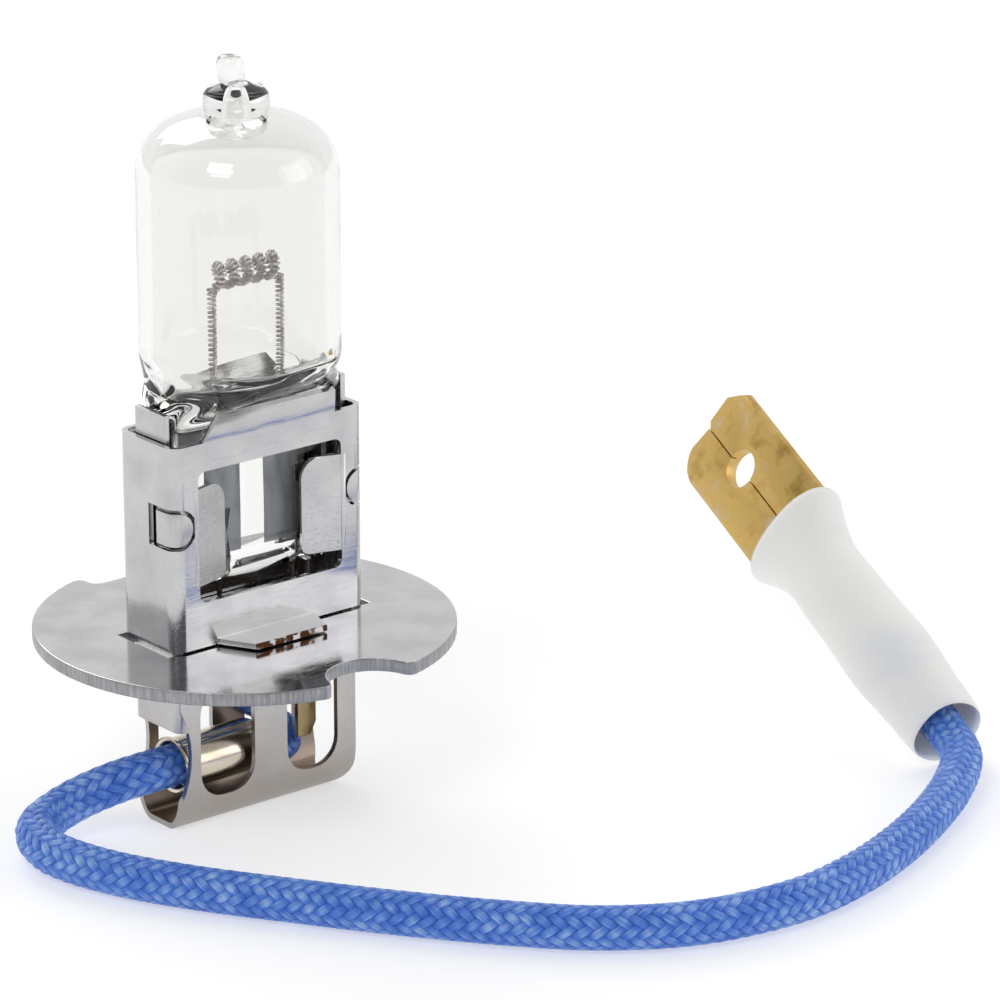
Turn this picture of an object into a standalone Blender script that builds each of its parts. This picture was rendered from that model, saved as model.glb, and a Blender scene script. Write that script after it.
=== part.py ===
"""Halogen headlight bulb: 22 mm flange, transverse filament, braided lead with a blade terminal.

The bulb stands on the floor of its yoke. +Z runs up the glass, +X runs along the filament and
the wide faces of the sleeve, -Y is the front. The origin is under the flange, on the ground.
"""
import math

import bmesh
import bpy
from mathutils import Matrix, Vector

MM = 0.001                        # sizes below are written in millimetres times this

# flange
FLANGE_RADIUS = 11.0 * MM
FLANGE_THICKNESS = 0.7 * MM
FLANGE_TOP = 10.0 * MM            # height of the seating face above the ground
NOTCH_RADIUS = 2.4 * MM           # the round notch at the front
NOTCH_CENTRE = FLANGE_RADIUS - 0.2 * MM
RECESS_HALF = 3.0 * MM            # the flat recess at the rear
RECESS_FLOOR = FLANGE_RADIUS - 1.8 * MM
RECESS_CORNER = 0.6 * MM
RIM_ROUND = 0.45 * MM
SLOT_PLAY = (0.75 * MM, 0.2 * MM)  # the slot around the cradle, at its ends and its sides

# sheet metal and clearances
SHEET = 0.3 * MM
FIT = 0.1 * MM                    # between nested sheet-metal pieces
TOUCH = 0.3 * MM                  # between pieces that meet end to end

# the glass that the sheet metal is made to fit
TUBE_RADIUS = 5.17 * MM
PINCH_HALF_DEPTH = 1.35 * MM
PINCH_PLAY = (0.28 * MM, 0.35 * MM)  # round the pinch in its cradle, at its ends and its sides

# focusing sleeve around the cradle
SLEEVE_WIDTH = 2 * (TUBE_RADIUS + PINCH_PLAY[0] + 2 * SHEET + FIT)
SLEEVE_DEPTH = 2 * (PINCH_HALF_DEPTH + PINCH_PLAY[1] + 2 * SHEET + FIT)
SLEEVE_HEIGHT = 11.0 * MM
SLEEVE_CORNER = 0.75 * MM
WINDOW_HALF = SLEEVE_WIDTH / 2 - 1.59 * MM  # the window that the flaps are cut from
WINDOW_LOW = 2.5 * MM             # heights in the sleeve are measured from the flange
WINDOW_HIGH = 9.5 * MM
WINDOW_SLOT = 0.9 * MM            # height of the slot above and below a flap
FLAP_REACH = 2.3 * MM
FLAP_HINGE = 0.1 * MM             # how far beyond the window's edge a flap starts to bend
FLAP_GAP = 0.12 * MM              # from a flap's edge to the pinch, which sets its bend
FLAP_ROUND = 1.1 * MM
SNAP_RADIUS = 1.1 * MM            # the snap windows at the two front corners
SNAP_CENTRE = (SLEEVE_WIDTH / 2 - 0.35 * MM, 6.65 * MM)
SNAP_BACK = 0.27 * MM             # the windows run from the front face to this far before the middle
SNAP_PLAY = 0.22 * MM             # gap around the tongue in its window
TONGUE_SHORT = 0.66 * MM          # how much sooner the tongue ends than its window
LIP_HALF = (WINDOW_HALF - 0.36 * MM, WINDOW_HALF - 0.86 * MM)  # at its root and its top
LIP_LENGTH = 1.6 * MM
LIP_BEND = math.radians(26)
LUG_ROOT = (-3.6 * MM, 2.7 * MM)  # weld lug, left and right ends where it leaves the sleeve
LUG_TIP = (-2.45 * MM, 2.0 * MM)
LUG_REACH = 2.0 * MM

# cradle: holds the pinch, passes through the flange and ends in the yoke
CRADLE_CORNER = 0.55 * MM
EAR_HALF = PINCH_HALF_DEPTH - 0.1 * MM
EAR_TOP = 12.45 * MM
CRADLE_SHOULDER = 10.6 * MM
CRADLE_OPENING = TUBE_RADIUS - 0.37 * MM  # half width of the opening that shows the pinch
CRADLE_SILL = 0.8 * MM
APRON_DROP = 4.5 * MM             # below the flange's seating face
YOKE_HALF = SLEEVE_WIDTH / 2 - 0.5 * MM
YOKE_CURVE = 2.2 * MM             # height over which the yoke's walls curve under
YOKE_FLOOR_HALF = 0.8 * MM
YOKE_CORNER = 1.3 * MM
YOKE_WINDOWS = ((-4.42 * MM, -0.95 * MM), (1.15 * MM, 4.45 * MM))
YOKE_WINDOW_LOW = 1.55 * MM       # above the ground
YOKE_WINDOW_HIGH = 7.6 * MM
YOKE_WINDOW_ROUND = 1.45 * MM
MOUTH_RADIUS = 5.2 * MM           # hollow in the yoke's left edge, at the lead
MOUTH_DEPTH = 0.75 * MM
MOUTH_HEIGHT = 4.2 * MM

# glass
TUBE_WALL = 0.9 * MM
DOME_START = 23.7 * MM            # heights in the glass are measured from the flange
DOME_HEIGHT = 3.4 * MM
DOME_POWER = 3.0
COLLAR_RADIUS = 1.62 * MM
COLLAR_HEIGHT = 1.1 * MM
TIP_RADIUS = 0.66 * MM
TIP_TOP = 30.0 * MM
PRESS_LOW = 11.2 * MM
PRESS_TOP = PRESS_LOW + 0.89 * (TUBE_RADIUS - PINCH_HALF_DEPTH)  # where the tube is round again
PINCH_LOW = 2.9 * MM
CAVITY_LOW = 12.4 * MM
GLASS_SIDES = 40

# filament and its current path
FILAMENT_CENTRE = 0.46 * MM
FILAMENT_HEIGHT = 18.75 * MM      # above the flange
COIL_TURNS = 6
COIL_LENGTH = 4.3 * MM
COIL_RADIUS = 0.56 * MM
COIL_WIRE = 0.3 * MM
COIL_STEPS = 14
LEG_LOW = 11.3 * MM
FOIL_LIVE = (-2.84 * MM, -0.59 * MM)
FOIL_GROUND = (0.91 * MM, 3.35 * MM)
FOIL_LOW = 4.2 * MM
FOIL_THICKNESS = 0.12 * MM
POCKET_PLAY = 0.25 * MM
POCKET_HALF = 0.45 * MM
LEAD_RADIUS = 0.3 * MM
LIVE_LEAD_X = -1.6 * MM
GROUND_LEAD_X = 3.1 * MM
GROUND_TAB_SIZE = (1.2 * MM, 0.3 * MM, 4.6 * MM)
GROUND_TAB_TOP = -2.5 * MM
BRAID_RADIUS = 0.6 * MM
BRAID_TOP = -1.6 * MM

# lead: ferrule, cord and terminal
FERRULE_LEFT = -YOKE_HALF + 0.75 * MM
FERRULE_LENGTH = 5.2 * MM
FERRULE_RADIUS = 1.4 * MM
FERRULE_BORE = 0.8 * MM
FERRULE_MOUTH = 1.22 * MM
FERRULE_MOUTH_DEPTH = 1.2 * MM
FERRULE_FLARE = 0.12 * MM
LEAD_AXIS_HEIGHT = 3.05 * MM      # above the ground
CONDUCTOR_RADIUS = 0.55 * MM
CORD_RADIUS = 1.175 * MM
TERMINAL_START = Vector((31.2, -20.3, 2.05)) * MM
TERMINAL_HEADING = math.radians(12.5)
TERMINAL_RISE = math.radians(20.4)
TERMINAL_ROLL = math.radians(27)
COVER_LENGTH = 17.4 * MM
COVER_ROUND = 2.15 * MM
COVER_OVAL = (3.7 * MM, 2.25 * MM)
COVER_FLARE = (0.8, 0.96)         # shares of the length between which it turns oval
COVER_WALL = 0.4 * MM
CORD_IN_COVER = 5.0 * MM
BARREL_RADIUS = 1.45 * MM
BARREL_LENGTH = 5.0 * MM
BLADE_WIDTH = 6.3 * MM
BLADE_THICKNESS = 0.8 * MM
BLADE_LENGTH = 10.1 * MM          # beyond the cover
BLADE_INSIDE = 0.7 * MM           # covered length, which is thinned
BLADE_NECK = 0.6 * MM             # thickness there
BLADE_HOLE = 1.1 * MM
BLADE_HOLE_PLACE = 4.1 * MM       # from the tip
BLADE_CHAMFER = 1.1 * MM

ROUND_SIDES = 24                  # on turned pieces, bars and round cuts

# the short sleeve's way round inside the yoke, from the pinch to the ferrule's end;
# across the yoke, 1 is as far back as its wall lets the sleeve lie
BRAID_ROUTE = ((-1.0, 0.5, 7.2), (-0.1, 0.9, 5.9), (0.75, 1.0, 4.95), (1.6, 0.95, 4.2),
               (2.5, 0.85, 3.7), (3.25, 0.7, 3.0), (3.15, 0.4, 2.2), (2.3, 0.1, 2.0))

# the cord's centreline from the ferrule to the cover, point by point
CORD_ROUTE = [Vector(p) * MM for p in (
    (-5.2, 0.0, 3.05), (-6.6, 0.0, 3.05), (-8.1, 0.5, 2.75), (-9.7, 1.3, 2.1),
    (-11.2, 1.6, 1.5), (-12.7, 0.9, 1.25), (-13.6, -0.8, 1.2), (-13.8, -3.0, 1.2),
    (-12.9, -6.4, 1.2), (-10.9, -10.4, 1.2), (-8.1, -14.8, 1.2), (-5.2, -19.1, 1.2),
    (-2.1, -23.2, 1.2), (1.3, -26.9, 1.2), (5.6, -29.5, 1.2), (10.9, -30.5, 1.2),
    (15.6, -29.9, 1.2), (19.9, -28.5, 1.2), (24.0, -26.6, 1.2), (27.6, -24.5, 1.3),
    (30.1, -22.5, 1.6), (31.2, -20.3, 2.05))]


# ---------------------------------------------------------------- outlines, in a flat plane

def arc(cx, cy, radius, start, end, steps):
    """Points on an arc from start to end, in degrees; end may be smaller than start."""
    angles = (math.radians(start + (end - start) * i / steps) for i in range(steps + 1))
    return [(cx + radius * math.cos(a), cy + radius * math.sin(a)) for a in angles]


def rounded_rectangle(left, right, low, high, radius, steps=6):
    return (arc(right - radius, high - radius, radius, 0, 90, steps)
            + arc(left + radius, high - radius, radius, 90, 180, steps)
            + arc(left + radius, low + radius, radius, 180, 270, steps)
            + arc(right - radius, low + radius, radius, 270, 360, steps))


def flange_outline():
    """Rim with a round notch at the front and a flat recess at the rear, all corners eased."""
    inner = FLANGE_RADIUS - RIM_ROUND
    reach = NOTCH_RADIUS + RIM_ROUND
    notch_y = (reach ** 2 - inner ** 2 - NOTCH_CENTRE ** 2) / (2 * NOTCH_CENTRE)
    notch_x = math.sqrt(inner ** 2 - notch_y ** 2)
    rim_angle = math.degrees(math.atan2(notch_y, notch_x))
    notch_angle = math.degrees(math.atan2(notch_y + NOTCH_CENTRE, notch_x))
    ease_x = RECESS_HALF + RIM_ROUND
    ease_y = math.sqrt(inner ** 2 - ease_x ** 2)
    recess_angle = math.degrees(math.atan2(ease_y, ease_x))
    corner_x = RECESS_HALF - RECESS_CORNER
    corner_y = RECESS_FLOOR + RECESS_CORNER
    return (arc(notch_x, notch_y, RIM_ROUND, 180 + notch_angle, 360 + rim_angle, 6)
            + arc(0, 0, FLANGE_RADIUS, rim_angle, recess_angle, 36)[1:]
            + arc(ease_x, ease_y, RIM_ROUND, recess_angle, 180, 6)[1:]
            + arc(corner_x, corner_y, RECESS_CORNER, 0, -90, 4)
            + arc(-corner_x, corner_y, RECESS_CORNER, -90, -180, 4)
            + arc(-ease_x, ease_y, RIM_ROUND, 0, 180 - recess_angle, 6)
            + arc(0, 0, FLANGE_RADIUS, 180 - recess_angle, 180 - rim_angle, 36)[1:]
            + arc(-notch_x, notch_y, RIM_ROUND, 180 - rim_angle, 360 - notch_angle, 6)[1:]
            + arc(0, -NOTCH_CENTRE, NOTCH_RADIUS, 180 - notch_angle, notch_angle, 14)[1:-1])


# ---------------------------------------------------------------- solids

def material(name, colour, roughness, metallic=0.0, transmission=0.0):
    finish = bpy.data.materials.new(name)
    finish.use_nodes = True
    shader = finish.node_tree.nodes["Principled BSDF"]
    shader.inputs["Base Color"].default_value = (*colour, 1.0)
    shader.inputs["Roughness"].default_value = roughness
    shader.inputs["Metallic"].default_value = metallic
    shader.inputs["Transmission Weight"].default_value = transmission
    return finish


def add_mesh(name, bm, collection):
    bmesh.ops.recalc_face_normals(bm, faces=bm.faces)
    mesh = bpy.data.meshes.new(name)
    bm.to_mesh(mesh)
    bm.free()
    piece = bpy.data.objects.new(name, mesh)
    collection.objects.link(piece)
    if collection is CUTTERS:
        piece.hide_render = True
        piece.display_type = 'WIRE'
    return piece


def plate(name, outline, low, high, collection, place=Matrix()):
    """A flat outline in XY, filled and thick from low to high along Z, then put in place."""
    curve = bpy.data.curves.new(name, 'CURVE')
    curve.dimensions = '2D'
    curve.fill_mode = 'BOTH'
    curve.extrude = (high - low) / 2
    spline = curve.splines.new('POLY')
    spline.points.add(len(outline) - 1)
    for point, (x, y) in zip(spline.points, outline):
        point.co = (x, y, 0.0, 1.0)
    spline.use_cyclic_u = True
    flat = bpy.data.objects.new(name, curve)
    bpy.context.scene.collection.objects.link(flat)
    evaluated = flat.evaluated_get(bpy.context.evaluated_depsgraph_get())
    solid = bpy.data.meshes.new_from_object(evaluated)
    bpy.data.objects.remove(flat)
    bm = bmesh.new()
    bm.from_mesh(solid)
    bmesh.ops.remove_doubles(bm, verts=bm.verts, dist=0.001 * MM)
    bm.transform(place @ Matrix.Translation((0, 0, (low + high) / 2)))
    return add_mesh(name, bm, collection)


def upright(name, outline, front, back, collection):
    """A plate whose outline lies in XZ, thick from front to back along Y."""
    turn = Matrix.Rotation(math.pi / 2, 4, 'X')
    return plate(name, outline, -back, -front, collection, turn)


def box(name, low, high, collection):
    bm = bmesh.new()
    size = Vector(high) - Vector(low)
    middle = (Vector(high) + Vector(low)) / 2
    place = Matrix.Translation(middle) @ Matrix.Diagonal((*size, 1.0))
    bmesh.ops.create_cube(bm, size=1.0, matrix=place)
    return add_mesh(name, bm, collection)


def cylinder(name, radius, start, end, collection, sides=ROUND_SIDES):
    """A round bar from one point to another."""
    bm = bmesh.new()
    along = Vector(end) - Vector(start)
    middle = (Vector(start) + Vector(end)) / 2
    place = Matrix.Translation(middle) @ along.to_track_quat('Z', 'Y').to_matrix().to_4x4()
    bmesh.ops.create_cone(bm, cap_ends=True, segments=sides, radius1=radius, radius2=radius,
                          depth=along.length, matrix=place)
    return add_mesh(name, bm, collection)


def combine(piece, other, operation):
    modifier = piece.modifiers.new(operation.lower(), 'BOOLEAN')
    modifier.operation = operation
    modifier.solver = 'EXACT'
    modifier.object = other
    return piece


def cut(piece, cutter):
    return combine(piece, cutter, 'DIFFERENCE')


def join(piece, other):
    return combine(piece, other, 'UNION')


def loft(name, rings, collection):
    """A closed solid through rings of points that all have the same count."""
    bm = bmesh.new()
    loops = [[bm.verts.new(p) for p in ring] for ring in rings]
    count = len(rings[0])
    for lower, upper in zip(loops, loops[1:]):
        for i in range(count):
            j = (i + 1) % count
            bm.faces.new((lower[i], lower[j], upper[j], upper[i]))
    bm.faces.new(list(reversed(loops[0])))
    bm.faces.new(loops[-1])
    return add_mesh(name, bm, collection)


def squircle(half_x, half_y, power, height, sides):
    """A ring at one height: round at power 2, nearly square at high powers."""
    ring = []
    for i in range(sides):
        angle = 2 * math.pi * i / sides
        c, s = math.cos(angle), math.sin(angle)
        ring.append(Vector((half_x * math.copysign(abs(c) ** (2 / power), c),
                            half_y * math.copysign(abs(s) ** (2 / power), s), height)))
    return ring


def wire(name, points, radius, collection):
    """A round wire along a list of points, with filled ends."""
    curve = bpy.data.curves.new(name, 'CURVE')
    curve.dimensions = '3D'
    curve.bevel_depth = radius
    curve.bevel_resolution = 2
    curve.use_fill_caps = True
    spline = curve.splines.new('POLY')
    spline.points.add(len(points) - 1)
    for point, place in zip(spline.points, points):
        point.co = (*place, 1.0)
    piece = bpy.data.objects.new(name, curve)
    collection.objects.link(piece)
    return piece


def smooth_route(points, spacing):
    """Even steps along a Catmull-Rom curve through the points."""
    dense = []
    padded = [2 * points[0] - points[1]] + list(points) + [2 * points[-1] - points[-2]]
    for a, b, c, d in zip(padded, padded[1:], padded[2:], padded[3:]):
        for i in range(20):
            t = i / 20
            dense.append(0.5 * (2 * b + (c - a) * t + (2 * a - 5 * b + 4 * c - d) * t ** 2
                                + (3 * b - a - 3 * c + d) * t ** 3))
    dense.append(points[-1])
    lengths = [0.0]
    for p, q in zip(dense, dense[1:]):
        lengths.append(lengths[-1] + (q - p).length)
    count = max(2, round(lengths[-1] / spacing))
    route, k = [], 0
    for i in range(count + 1):
        goal = lengths[-1] * i / count
        while k < len(lengths) - 2 and lengths[k + 1] < goal:
            k += 1
        route.append(dense[k].lerp(dense[k + 1], (goal - lengths[k]) / (lengths[k + 1] - lengths[k])))
    return route


# ---------------------------------------------------------------- flange

def sleeve_half():
    return SLEEVE_WIDTH / 2, SLEEVE_DEPTH / 2


def cradle_half():
    return SLEEVE_WIDTH / 2 - SHEET - FIT, SLEEVE_DEPTH / 2 - SHEET - FIT


def flange_disc():
    disc = plate("flange_disc", flange_outline(), FLANGE_TOP - FLANGE_THICKNESS, FLANGE_TOP, PARTS)
    half_x, half_y = cradle_half()
    half_x += SLOT_PLAY[0]
    half_y += SLOT_PLAY[1]
    cut(disc, box("flange_slot", (-half_x, -half_y, 0), (half_x, half_y, 2 * FLANGE_TOP), CUTTERS))
    return disc


# ---------------------------------------------------------------- sleeve

def snap_outline(side, play):
    """Snap window or its tongue: open past the corner, round towards the middle."""
    x, z = SNAP_CENTRE
    z += FLANGE_TOP
    radius = SNAP_RADIUS - play
    outer = SLEEVE_WIDTH
    points = [(-outer, z - radius), *arc(-x, z, radius, -90, 90, 12), (-outer, z + radius)]
    return [(-side * px, pz) for px, pz in points]


def flap(side, face):
    """One window flap, bent in at its hinge; side is -1 or 1 along X, face -1 (front) or 1."""
    low = FLANGE_TOP + WINDOW_LOW + WINDOW_SLOT
    high = FLANGE_TOP + WINDOW_HIGH - WINDOW_SLOT
    root = 0.15 * MM
    outline = ([(root, low), (root, high)]
               + arc(-FLAP_REACH + FLAP_ROUND, high - FLAP_ROUND, FLAP_ROUND, 90, 180, 6)
               + arc(-FLAP_REACH + FLAP_ROUND / 3, low + FLAP_ROUND / 3, FLAP_ROUND / 3, 180, 270, 3))
    name = f"flap_{'left' if side < 0 else 'right'}_{'front' if face < 0 else 'rear'}"
    piece = upright(name, [(side * x, z) for x, z in outline], 0, SHEET, CUTTERS)
    hinge = Vector((side * (WINDOW_HALF + FLAP_HINGE), face * SLEEVE_DEPTH / 2, 0))
    if face > 0:
        piece.data.transform(Matrix.Translation((0, -SHEET, 0)))
    depth = SLEEVE_DEPTH / 2 - PINCH_HALF_DEPTH - FLAP_GAP
    bend = math.asin(depth / math.hypot(FLAP_REACH, SHEET)) - math.atan(SHEET / FLAP_REACH)
    turn = Matrix.Rotation(side * face * bend, 4, 'Z')
    piece.data.transform(Matrix.Translation(hinge) @ turn)
    return piece


def lip(face):
    """The flared lead-in lip at the top of a wide face."""
    root = 0.2 * MM
    outline = [(-LIP_HALF[0], -root), (LIP_HALF[0], -root), (LIP_HALF[0], 0),
               (LIP_HALF[1], LIP_LENGTH), (-LIP_HALF[1], LIP_LENGTH), (-LIP_HALF[0], 0)]
    piece = upright(f"lip_{'front' if face < 0 else 'rear'}", outline,
                    0 if face < 0 else -SHEET, SHEET if face < 0 else 0, CUTTERS)
    turn = Matrix.Rotation(-face * LIP_BEND, 4, 'X')
    hinge = Vector((0, face * SLEEVE_DEPTH / 2, FLANGE_TOP + SLEEVE_HEIGHT))
    piece.data.transform(Matrix.Translation(hinge) @ turn)
    return piece


def lug(face):
    """The weld lug at the foot of a wide face, turned out over the flange."""
    root = SLEEVE_DEPTH / 2 - SHEET / 2
    tip = SLEEVE_DEPTH / 2 + LUG_REACH
    outline = [(LUG_ROOT[0], root), (LUG_TIP[0], tip), (LUG_TIP[1], tip), (LUG_ROOT[1], root)]
    if face < 0:
        outline = [(x, -y) for x, y in reversed(outline)]
    else:
        outline = [(-x, y) for x, y in reversed(outline)]
    low = FLANGE_TOP + FIT
    return plate(f"lug_{'front' if face < 0 else 'rear'}", outline, low, low + SHEET, CUTTERS)


def focus_sleeve():
    half_x, half_y = sleeve_half()
    low, high = FLANGE_TOP + FIT, FLANGE_TOP + SLEEVE_HEIGHT
    outer = rounded_rectangle(-half_x, half_x, -half_y, half_y, SLEEVE_CORNER)
    inner = rounded_rectangle(-half_x + SHEET, half_x - SHEET, -half_y + SHEET, half_y - SHEET,
                              SLEEVE_CORNER - SHEET)
    sleeve = plate("focus_sleeve", outer, low, high, PARTS)
    cut(sleeve, plate("sleeve_bore", inner, low - MM, high + MM, CUTTERS))
    window = rounded_rectangle(-WINDOW_HALF, WINDOW_HALF, FLANGE_TOP + WINDOW_LOW,
                               FLANGE_TOP + WINDOW_HIGH, WINDOW_SLOT / 2)
    cut(sleeve, upright("sleeve_window", window, -SLEEVE_DEPTH, SLEEVE_DEPTH, CUTTERS))
    for side in (-1, 1):
        name = f"snap_{'left' if side < 0 else 'right'}"
        cut(sleeve, upright(name, snap_outline(side, 0), -SLEEVE_DEPTH, -SNAP_BACK, CUTTERS))
    for face in (-1, 1):
        join(sleeve, lip(face))
        join(sleeve, lug(face))
        for side in (-1, 1):
            join(sleeve, flap(side, face))
    return sleeve


# ---------------------------------------------------------------- cradle and yoke

def yoke_profile(inset, top):
    """The yoke's section across X: straight walls that curve under to a flat floor."""
    half = cradle_half()[1] - inset
    bend = []
    for i in range(9):
        angle = math.pi / 2 * i / 8
        y = YOKE_FLOOR_HALF + (half - YOKE_FLOOR_HALF) * math.cos(angle)
        bend.append((y, inset + YOKE_CURVE * (1 - math.sin(angle))))
    left = [(-y, z) for y, z in reversed(bend)]
    return [(half, top), *bend, *left, (-half, top)]


def along_x(name, profile, reach, collection):
    """A YZ profile carried along X from -reach to reach."""
    turn = Matrix(((0, 0, 1, 0), (1, 0, 0, 0), (0, 1, 0, 0), (0, 0, 0, 1)))
    return plate(name, profile, -reach, reach, collection, turn)


def tongue(side):
    """The cradle's snap tongue: it fills the sleeve's corner window, flush with the sleeve."""
    half_x, half_y = sleeve_half()
    shell = rounded_rectangle(-half_x, half_x, -half_y, half_y, SLEEVE_CORNER)
    inner_x, inner_y = (half - SHEET / 2 for half in cradle_half())
    core = rounded_rectangle(-inner_x, inner_x, -inner_y, inner_y, CRADLE_CORNER)
    name = f"tongue_{'left' if side < 0 else 'right'}"
    back = -SNAP_BACK - TONGUE_SHORT
    piece = upright(name, snap_outline(side, SNAP_PLAY), -SLEEVE_DEPTH, back, CUTTERS)
    combine(piece, plate(name + "_skin", shell, 0, 3 * FLANGE_TOP, CUTTERS), 'INTERSECT')
    return cut(piece, plate(name + "_core", core, 0, 3 * FLANGE_TOP, CUTTERS))


def pinch_cradle():
    half_x, half_y = cradle_half()
    low, high = FLANGE_TOP - APRON_DROP, FLANGE_TOP + EAR_TOP
    outer = rounded_rectangle(-half_x, half_x, -half_y, half_y, CRADLE_CORNER)
    inner = rounded_rectangle(-half_x + SHEET, half_x - SHEET, -half_y + SHEET, half_y - SHEET,
                              CRADLE_CORNER - SHEET)
    cradle = plate("pinch_cradle", outer, low, high, PARTS)
    yoke = along_x("yoke_block", yoke_profile(0, FLANGE_TOP - MM), YOKE_HALF, CUTTERS)
    sides = ([(YOKE_HALF, FLANGE_TOP), (-YOKE_HALF, FLANGE_TOP), (-YOKE_HALF, 0)]
             + arc(YOKE_HALF - YOKE_CORNER, YOKE_CORNER, YOKE_CORNER, 270, 360, 6))
    combine(yoke, upright("yoke_sides", sides, -SLEEVE_DEPTH, SLEEVE_DEPTH, CUTTERS), 'INTERSECT')
    mouth = (-half_x + MOUTH_DEPTH - MOUTH_RADIUS, MOUTH_HEIGHT)
    cut(yoke, cylinder("yoke_mouth", MOUTH_RADIUS, (mouth[0], -SLEEVE_DEPTH, mouth[1]),
                       (mouth[0], SLEEVE_DEPTH, mouth[1]), CUTTERS, 2 * ROUND_SIDES))
    join(cradle, yoke)
    cut(cradle, plate("cradle_bore", inner, low - MM, high + MM, CUTTERS))
    cut(cradle, along_x("yoke_bore", yoke_profile(SHEET, low), SLEEVE_WIDTH, CUTTERS))
    opening = rounded_rectangle(-CRADLE_OPENING, CRADLE_OPENING,
                                FLANGE_TOP + CRADLE_SILL, 2 * high, SHEET)
    cut(cradle, upright("cradle_opening", opening, -SLEEVE_DEPTH, SLEEVE_DEPTH, CUTTERS))
    for face in (-1, 1):
        near, far = sorted((face * EAR_HALF, face * SLEEVE_DEPTH))
        cut(cradle, box(f"ear_side_{face}", (-SLEEVE_WIDTH, near, FLANGE_TOP + CRADLE_SHOULDER),
                        (SLEEVE_WIDTH, far, 2 * high), CUTTERS))
    for left, right in YOKE_WINDOWS:
        window = rounded_rectangle(left, right, YOKE_WINDOW_LOW, YOKE_WINDOW_HIGH, YOKE_WINDOW_ROUND)
        cut(cradle, upright("yoke_window", window, -SLEEVE_DEPTH, SLEEVE_DEPTH, CUTTERS))
    for side in (-1, 1):
        join(cradle, tongue(side))
    return cradle


# ---------------------------------------------------------------- glass

def dome(radius, start, height, smallest, steps):
    """Rings of a dome, from its full radius up to a small one."""
    rings = []
    for i in range(1, steps + 1):
        share = math.sin(math.pi / 2 * (1 - i / steps * (1 - smallest)))
        rise = (1 - share ** DOME_POWER) ** (1 / DOME_POWER)
        rings.append(squircle(radius * share, radius * share, 2, start + height * rise, GLASS_SIDES))
    return rings


def press(half_x, half_y, top, low, steps, slab_half):
    """Rings that flatten a round tube into a slab, from low up to top."""
    rings = []
    for i in range(steps + 1):
        t = i / steps
        ease = t * t * (3 - 2 * t)
        rings.append(squircle(half_x, slab_half + (half_y - slab_half) * ease,
                              2 + 8 * (1 - ease) ** 3, low + (top - low) * t, GLASS_SIDES))
    return rings


def glass_envelope():
    base = FLANGE_TOP
    rings = [squircle(TUBE_RADIUS, PINCH_HALF_DEPTH, 10, base + PINCH_LOW, GLASS_SIDES)]
    rings += press(TUBE_RADIUS, TUBE_RADIUS, base + PRESS_TOP, base + PRESS_LOW, 7, PINCH_HALF_DEPTH)
    rings.append(squircle(TUBE_RADIUS, TUBE_RADIUS, 2, base + DOME_START, GLASS_SIDES))
    rings += dome(TUBE_RADIUS, base + DOME_START, DOME_HEIGHT, 0.22, 8)
    top = base + DOME_START + DOME_HEIGHT
    for share, rise in ((1.0, 0.25), (1.0, 0.6), (0.75, 0.95)):
        half = COLLAR_RADIUS * share
        rings.append(squircle(half, half, 2, top + COLLAR_HEIGHT * rise, GLASS_SIDES))
    for share, rise in ((1.0, 0.0), (0.9, 0.7), (1.05, 0.85), (0.6, 1.0)):
        height = top + COLLAR_HEIGHT + (base + TIP_TOP - top - COLLAR_HEIGHT) * rise
        rings.append(squircle(TIP_RADIUS * share, TIP_RADIUS * share, 2, height, GLASS_SIDES))
    glass = loft("glass_envelope", rings, PARTS)

    bore = TUBE_RADIUS - TUBE_WALL
    hollow = [squircle(bore * 0.7, TUBE_WALL / 3, 2, base + CAVITY_LOW, GLASS_SIDES)]
    hollow += press(bore, bore, base + PRESS_TOP, base + CAVITY_LOW + TUBE_WALL / 3, 4, 0.9 * TUBE_WALL)
    hollow.append(squircle(bore, bore, 2, base + DOME_START, GLASS_SIDES))
    hollow += dome(bore, base + DOME_START, DOME_HEIGHT - TUBE_WALL, 0.1, 6)
    cut(glass, loft("glass_cavity", hollow, CUTTERS))
    for name, (left, right) in (("pocket_live", FOIL_LIVE), ("pocket_ground", FOIL_GROUND)):
        cut(glass, box(name, (left - POCKET_PLAY, -POCKET_HALF, base),
                       (right + POCKET_PLAY, POCKET_HALF, base + CAVITY_LOW + MM), CUTTERS))
    return glass


# ---------------------------------------------------------------- current path

def filament():
    height = FLANGE_TOP + FILAMENT_HEIGHT
    start = FILAMENT_CENTRE - COIL_LENGTH / 2
    coil = []
    for i in range(COIL_TURNS * COIL_STEPS + 1):
        turn = i / COIL_STEPS
        angle = 2 * math.pi * turn
        coil.append((start + COIL_LENGTH * turn / COIL_TURNS, COIL_RADIUS * math.sin(angle),
                     height - COIL_RADIUS * math.cos(angle)))
    low = FLANGE_TOP + LEG_LOW
    end = coil[-1]
    return wire("filament", [(start, 0, low), *coil, (end[0], 0, low)], COIL_WIRE, PARTS)


def foil(name, span):
    left, right = span
    top = FLANGE_TOP + LEG_LOW - TOUCH
    return box(name, (left, -FOIL_THICKNESS / 2, FLANGE_TOP + FOIL_LOW),
               (right, FOIL_THICKNESS / 2, top), PARTS)


def live_lead():
    top = FLANGE_TOP + FOIL_LOW - TOUCH
    low = FLANGE_TOP + BRAID_TOP + TOUCH
    return wire("live_lead", [(LIVE_LEAD_X, 0, top), (LIVE_LEAD_X, 0, low)], LEAD_RADIUS, PARTS)


def ground_lead():
    top = FLANGE_TOP + FOIL_LOW - TOUCH
    low = FLANGE_TOP + GROUND_TAB_TOP + TOUCH
    return wire("ground_lead", [(GROUND_LEAD_X, 0, top), (GROUND_LEAD_X, 0, low)], LEAD_RADIUS, PARTS)


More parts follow.
